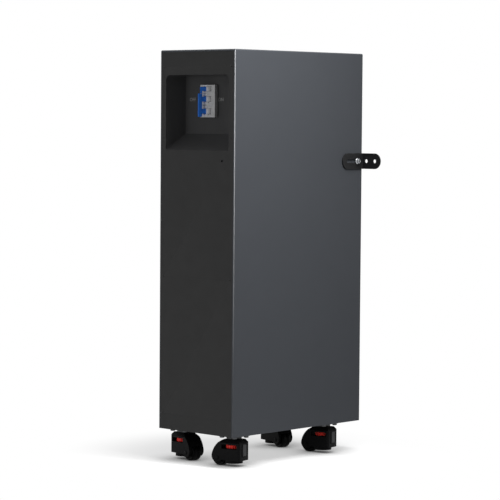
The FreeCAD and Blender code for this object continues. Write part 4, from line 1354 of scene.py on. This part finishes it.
    def foot(self) -> Shell:
        """The rubber pad: grip rings under it, a rounded rim and a coned back."""
        profile = [(0.0, self.foot_low + self.foot_ring[0][1] * MM)]
        for step in range(self.foot_rings):
            start = (self.foot_ring_first + self.foot_ring_pitch * step) * MM
            profile += offset(self.foot_ring, start, self.foot_low)
        profile += offset(self.foot_rim, self.foot_radius, self.foot_low)
        return revolved(profile, self.outline_steps, Axis.Z, (0.0, 0.0, 0.0))


@dataclass(frozen=True)
class HexScrew:
    """A screw with a chamfered hexagon head, dished on top, and a plain shank.

    The crown's pairs hold a factor on the hexagon and the depth under the head's outer face
    in millimetres.
    """

    head: float
    length: float
    across: float = 10 * MM
    shank_radius: float = 3 * MM
    corner: float = 0.25 * MM
    crown: Pairs = ((0.0, 0.35), (0.55, 0.35), (0.62, 0.0), (0.86, 0.0), (0.97, 0.45), (1.0, 0.7))
    seat_edge: float = 0.1 * MM
    seat_share: float = 0.98
    overlap: float = 0.5 * MM
    tip_length: float = 0.6 * MM
    tip_share: float = 0.75
    steps: int = 24

    def shells(self, axis: Axis, way: int, centre: Triple) -> list[Shell]:
        """Builds the head as layers of a hexagon and the shank as a turned profile.

        Args:
            axis: Axis that the screw lies along.
            way: 1 where the shank points to the positive side, -1 where it points to the negative side.
            centre: Middle of the head's outer face.

        Returns:
            The shells of the head and of the shank.
        """
        layers = layered(self.crown) + [(1.0, self.head - self.seat_edge), (self.seat_share, self.head),
                                        (0.0, self.head)]
        outline = hexagon_outline(self.across, self.corner)
        head = stacked(outline, [(factor, way * level) for factor, level in layers], axis, centre)
        start = self.head - self.overlap
        end = self.head + self.length
        profile = [(0.0, start), (self.shank_radius, start), (self.shank_radius, end - self.tip_length),
                   (self.shank_radius * self.tip_share, end), (0.0, end)]
        profile = [(radius, way * level) for radius, level in profile]
        return [head, revolved(profile, self.steps, axis, centre)]


@dataclass
class CasterScrews:
    """Sixteen hexagon screws that hold the caster plates from below."""

    places: list[CasterPlace]
    spacing: float = 38 * MM
    head_low: float = 63 * MM
    screw: HexScrew = HexScrew(head=4 * MM, length=12 * MM)

    def build(self) -> None:
        """Makes all of them as one piece."""
        half = self.spacing / 2
        shells = []
        for place in self.places:
            for dx, dy in ((-half, -half), (-half, half), (half, -half), (half, half)):
                centre = (place.side.value * place.reach + dx, place.y + dy, self.head_low)
                shells += self.screw.shells(Axis.Z, 1, centre)
        seat(solid_from("caster_screw_set", shells), "caster_screws", "dark_zinc")


# Wall brackets

@dataclass
class WallBracket:
    """One slotted angle bracket with its flange screw.

    The flange's rim holds radius and height in millimetres, measured from its radius and seat.
    """

    side: Side
    seat_x: float = 118.2 * MM
    screw_y: float = 194.3 * MM
    screw_z: float = 673 * MM
    flange: float = 1.6 * MM
    flange_radius: float = 6.6 * MM
    flange_steps: int = 64
    flange_rim: Pairs = ((-0.3, 0.0), (0.0, 0.25), (0.0, 0.6), (-1.0, 1.4), (-2.2, 1.7), (-6.6, 1.7))
    head: float = 4.6 * MM
    length: float = 12 * MM
    edge_round: float = 0.45 * MM

    def build(self) -> None:
        """Builds the bracket and its screw."""
        word = self.side.name.lower()
        node = "wall_bracket_%s" % word
        seat(softened_copy(node, "slotted_bracket_%s" % word, self.edge_round, 3), node, "bracket_paint")
        seat(solid_from("flange_screw_%s" % word, self.screw()), "bracket_screw_%s" % word, "zinc_screws")

    def screw(self) -> list[Shell]:
        """Head, coned flange and shank, made along X from the seat outwards."""
        way = self.side.value
        seat_x = way * self.seat_x
        face_x = seat_x + way * (self.flange + self.head)
        bolt = HexScrew(head=self.head, length=self.flange + self.length)
        profile = [(0.0, 0.0), *offset(self.flange_rim, self.flange_radius, 0.0)]
        cone = revolved([(radius, way * level) for radius, level in profile], self.flange_steps, Axis.X,
                        (seat_x, self.screw_y, self.screw_z))
        return [*bolt.shells(Axis.X, -way, (face_x, self.screw_y, self.screw_z)), cone]


# Sockets in the rear bay

@dataclass
class PowerSocket:
    """A round shrouded power socket on its square flange.

    The flange's layers hold a factor and a height in millimetres. The other pairs hold radius
    and height in millimetres, measured from the sizes that build passes with them.
    """

    node: str
    finish: str
    x: float
    z: float = 808 * MM
    back_y: float = 169 * MM
    flange_half: float = 17 * MM
    flange_square: Span = (0.28, 0.28)
    flange_layers: Pairs = ((0.0, 0.0), (0.99, 0.0), (1.0, 0.3), (1.0, 3.5), (0.97, 4.0), (0.0, 4.0))
    flange: float = 4 * MM
    radius: float = 13 * MM
    length: float = 26 * MM
    steps: int = 96
    lip: Pairs = ((-1.5, 0.0), (0.0, -1.5), (0.0, -9.0), (-0.6, -9.4))
    root: Pairs = ((-0.6, 3.0), (0.0, 2.0), (0.0, -0.5), (-13.0, -0.5))
    rib_count: int = 24
    rib_share: float = 0.045
    bore: float = 9 * MM
    bore_depth: float = 20 * MM
    bore_lip: Pairs = ((0.0, -0.8), (0.8, 0.0))
    pin: float = 4 * MM
    pin_length: float = 14 * MM
    pin_steps: int = 48
    pin_root: float = 1 * MM
    pin_tip: float = 0.6 * MM

    def build(self) -> None:
        """Builds flange, ribbed shroud and contact pin."""
        centre = (self.x, self.back_y, self.z)
        square = superellipse(self.flange_half, self.flange_half, self.flange_square, self.steps)
        flange = stacked(square[:, ::-1], layered(self.flange_layers), Axis.Y, centre)
        top = self.flange + self.length
        floor = top - self.bore_depth
        profile = [(0.0, floor), (self.bore, floor), *offset(self.bore_lip, self.bore, top),
                   *offset(self.lip, self.radius, top), *offset(self.root, self.radius, self.flange)]
        ribs = np.ones((len(profile), self.steps))
        # Points 7 and 8 are the two ends of the shroud's neck.
        ribs[7:9] += self.rib_share * (np.cos(self.rib_count * round_turn(self.steps)) > 0.0)
        shroud = revolved(profile, self.steps, Axis.Y, centre, ribs)
        seat(solid_from("%s_shroud" % self.node, [flange, shroud]), self.node, self.finish)
        start, end = floor - self.pin_root, floor + self.pin_length
        pin = [(0.0, start), (self.pin, start), (self.pin, end - self.pin_tip),
               (self.pin - self.pin_tip, end), (0.0, end)]
        contact = solid_from("%s_pin" % self.node, [revolved(pin, self.pin_steps, Axis.Y, centre)])
        seat(contact, self.node, "busbar_copper", extra=True)


@dataclass
class SignalSockets:
    """The block of four signal sockets with their contacts."""

    node: str = "comm_sockets"
    edge_round: float = 0.3 * MM
    count: int = 4
    block_width: float = 74 * MM
    block_end: float = 2 * MM
    socket_width: float = 12 * MM
    floor_y: float = 174.1 * MM
    centre_z: float = 764 * MM
    contacts: int = 8
    contact_pitch: float = 1.02 * MM
    contact_half: float = 0.2 * MM
    contact_reach: float = 6 * MM
    contact_rise: float = 2.6 * MM
    contact_drop: float = 4.0 * MM

    def build(self) -> None:
        """Rounds the block and sets a comb of spring contacts in each socket."""
        seat(softened_copy(self.node, "socket_block", self.edge_round), self.node, "socket_black")
        pitch = (self.block_width - self.socket_width - 2 * self.block_end) / (self.count - 1)
        shells = []
        for index in range(self.count):
            centre_x = (index - (self.count - 1) / 2) * pitch
            for step in range(self.contacts):
                away = (step - (self.contacts - 1) / 2) * self.contact_pitch
                shells.append(self.contact(centre_x + away))
        seat(solid_from("socket_contacts", shells), self.node, "busbar_copper", extra=True)

    def contact(self, x: float) -> Shell:
        """One contact: a small square section carried forward and up along a quarter wave.

        Args:
            x: Where it stands along X.

        Returns:
            The points and the quads of the shell.
        """
        square = np.array([[-1.0, -1.0], [1.0, -1.0], [1.0, 1.0], [-1.0, 1.0]]) * self.contact_half
        sizes = (0.0, 1.0, 1.0, 1.0, 1.0, 1.0, 1.0, 0.0)
        rings = []
        for size, way in zip(sizes, np.linspace(0.0, 1.0, len(sizes))):
            rise = self.contact_rise * math.sin(way * math.pi / 2) - self.contact_drop
            rings.append((size * square + (0.0, rise), way * self.contact_reach))
        return lofted(rings, Axis.FRONT, (x, self.floor_y, self.centre_z))


# Studio

@dataclass(frozen=True)
class SoftBox:
    """A soft lamp aimed at a point, with the size of its face in metres and its power in watts."""

    name: str
    place: Triple
    target: Triple
    size: Span
    power: float
    spread: float

    def build(self) -> None:
        """Sets up the lamp, which the camera doesn't see."""
        light = bpy.data.lights.new(self.name, "AREA")
        light.shape = "RECTANGLE"
        light.size, light.size_y = self.size
        light.energy = self.power
        light.spread = self.spread
        lamp = bpy.data.objects.new(self.name, light)
        lamp.location = self.place
        lamp.visible_camera = False
        lamp.rotation_euler = (Vector(self.target) - Vector(self.place)).to_track_quat("-Z", "Y").to_euler()
        bpy.context.scene.collection.objects.link(lamp)


@dataclass
class Studio:
    """A pale floor, soft lamps, a white surround and the camera of the photograph."""

    yaw: float = math.radians(42.968)
    pitch: float = math.radians(3.277)
    roll: float = math.radians(0.422)
    focal_pixels: float = 2279.0
    frame_pixels: float = 500.0
    place: Triple = (3.5219, -3.8211, 0.7669)
    sensor: float = 36.0
    far_clip: float = 60.0
    floor_size: float = 14.0
    floor_tone: float = 0.62
    floor_lift: float = 0.66
    fade_start: float = 0.2
    fade_end: float = 0.48
    contact_reach: float = 0.075
    contact_samples: int = 12
    surround_color: Color = (0.97, 0.98, 1.0)
    surround: float = 0.12
    lamps: tuple[SoftBox, ...] = (
        SoftBox("key_lamp", place=(0.75, -0.10, 1.7), target=(0.115, -0.32, 0.82), size=(0.2, 1.1),
                power=9.9, spread=math.radians(100)),
        SoftBox("front_lamp", place=(-2.1, -3.75, 0.58), target=(0.0, -0.2, 0.48), size=(1.8, 1.8),
                power=39.5, spread=math.pi),
    )

    def build(self) -> None:
        """Sets up world, floor, lamps, camera and the plain view transform."""
        bpy.context.scene.view_settings.view_transform = "Standard"
        self.world()
        self.floor()
        for lamp in self.lamps:
            lamp.build()
        self.camera()

    def world(self) -> None:
        """White to the camera and to reflections, a soft grey as light."""
        world = bpy.data.worlds.new("surround")
        bpy.context.scene.world = world
        world.use_nodes = True
        desk = NodeDesk(world.node_tree)
        seen = desk.node("Background", {"Color": (1.0, 1.0, 1.0)}).outputs["Background"]
        lit = desk.node("Background", {"Color": self.surround_color, "Strength": self.surround})
        mix = {"Fac": self.seen_directly(desk), 1: lit.outputs["Background"], 2: seen}
        desk.node("OutputWorld", {"Surface": desk.node("MixShader", mix).outputs["Shader"]})

    def seen_directly(self, desk: NodeDesk) -> Socket:
        """One where a ray comes from the camera, a glossy surface or glass: the greatest of three flags.

        Args:
            desk: Node tree to draw it in.

        Returns:
            The flag.
        """
        path = desk.node("LightPath").outputs
        mirrored = desk.math("MAXIMUM", path["Is Camera Ray"], path["Is Glossy Ray"])
        return desk.math("MAXIMUM", mirrored, path["Is Transmission Ray"])

    def floor(self) -> None:
        """A pale floor that takes soft shadows and fades to white a short way from the object."""
        half = self.floor_size / 2
        corners = [(-half, -half, 0.0), (half, -half, 0.0), (half, half, 0.0), (-half, half, 0.0)]
        mesh = bpy.data.meshes.new("floor")
        mesh.from_pydata(corners, [], [(0, 1, 2, 3)])
        mesh.materials.append(self.floor_paint())
        in_scene("floor", mesh)

    def floor_paint(self) -> bpy.types.Material:
        """Builds the floor's material: contact shade under the object and plain white further out.

        Returns:
            The material.
        """
        material = bpy.data.materials.new("pale_floor")
        material.use_nodes = True
        desk = NodeDesk(material.node_tree)
        near_wheels = {"Color": (self.floor_tone,) * 3, "Distance": self.contact_reach}
        shade = desk.node("AmbientOcclusion", near_wheels, samples=self.contact_samples).outputs
        matte = desk.node("BsdfDiffuse", {"Color": shade["Color"]}).outputs["BSDF"]
        lift = desk.node("Emission", {"Color": shade["AO"], "Strength": self.floor_lift})
        near = desk.node("AddShader", {0: matte, 1: lift.outputs["Emission"]}).outputs["Shader"]
        place = desk.node("TexCoord").outputs["Object"]
        away = desk.node("VectorMath", {0: place}, operation="LENGTH").outputs["Value"]
        span = {"Value": away, "From Min": self.fade_start, "From Max": self.fade_end}
        fade = desk.node("MapRange", span, interpolation_type="SMOOTHSTEP").outputs["Result"]
        white = desk.node("Emission").outputs["Emission"]
        seen = desk.node("MixShader", {"Fac": fade, 1: near, 2: white}).outputs["Shader"]
        drawn = desk.node("MixShader", {"Fac": self.seen_directly(desk), 1: matte, 2: seen})
        desk.node("OutputMaterial", {"Surface": drawn.outputs["Shader"]})
        return material

    def camera(self) -> None:
        """A camera at the photograph's angle: back, right and up follow from yaw, pitch and roll."""
        level = math.cos(self.pitch)
        back = Vector((math.sin(self.yaw) * level, -math.cos(self.yaw) * level, math.sin(self.pitch)))
        level_right = (-back).cross(Vector((0.0, 0.0, 1.0))).normalized()
        level_up = level_right.cross(-back)
        right = math.cos(self.roll) * level_right + math.sin(self.roll) * level_up
        up = math.cos(self.roll) * level_up - math.sin(self.roll) * level_right
        lens = bpy.data.cameras.new("photo_camera")
        lens.sensor_width = self.sensor
        lens.lens = self.focal_pixels / self.frame_pixels * self.sensor
        lens.clip_end = self.far_clip
        camera = bpy.data.objects.new("photo_camera", lens)
        camera.matrix_world = Matrix((right, up, back)).transposed().to_4x4()
        camera.location = self.place
        bpy.context.scene.collection.objects.link(camera)
        bpy.context.scene.camera = camera


def main() -> None:
    """Builds the studio and every sub-assembly in order."""
    Studio().build()
    Cabinet().build()
    FlushScrews().build()
    Breaker().build()
    ResetButton().build()
    places = [
        CasterPlace("front_left", Side.LEFT, -170 * MM), CasterPlace("front_right", Side.RIGHT, -170 * MM),
        CasterPlace("rear_left", Side.LEFT, 129 * MM), CasterPlace("rear_right", Side.RIGHT, 129 * MM),
    ]
    for place in places:
        Caster(place).build()
    CasterScrews(places).build()
    for side in Side:
        WallBracket(side).build()
    PowerSocket("positive_terminal", "terminal_red", -55 * MM).build()
    PowerSocket("negative_terminal", "terminal_black", 55 * MM).build()
    SignalSockets().build()


if __name__ == "__main__":
    main()
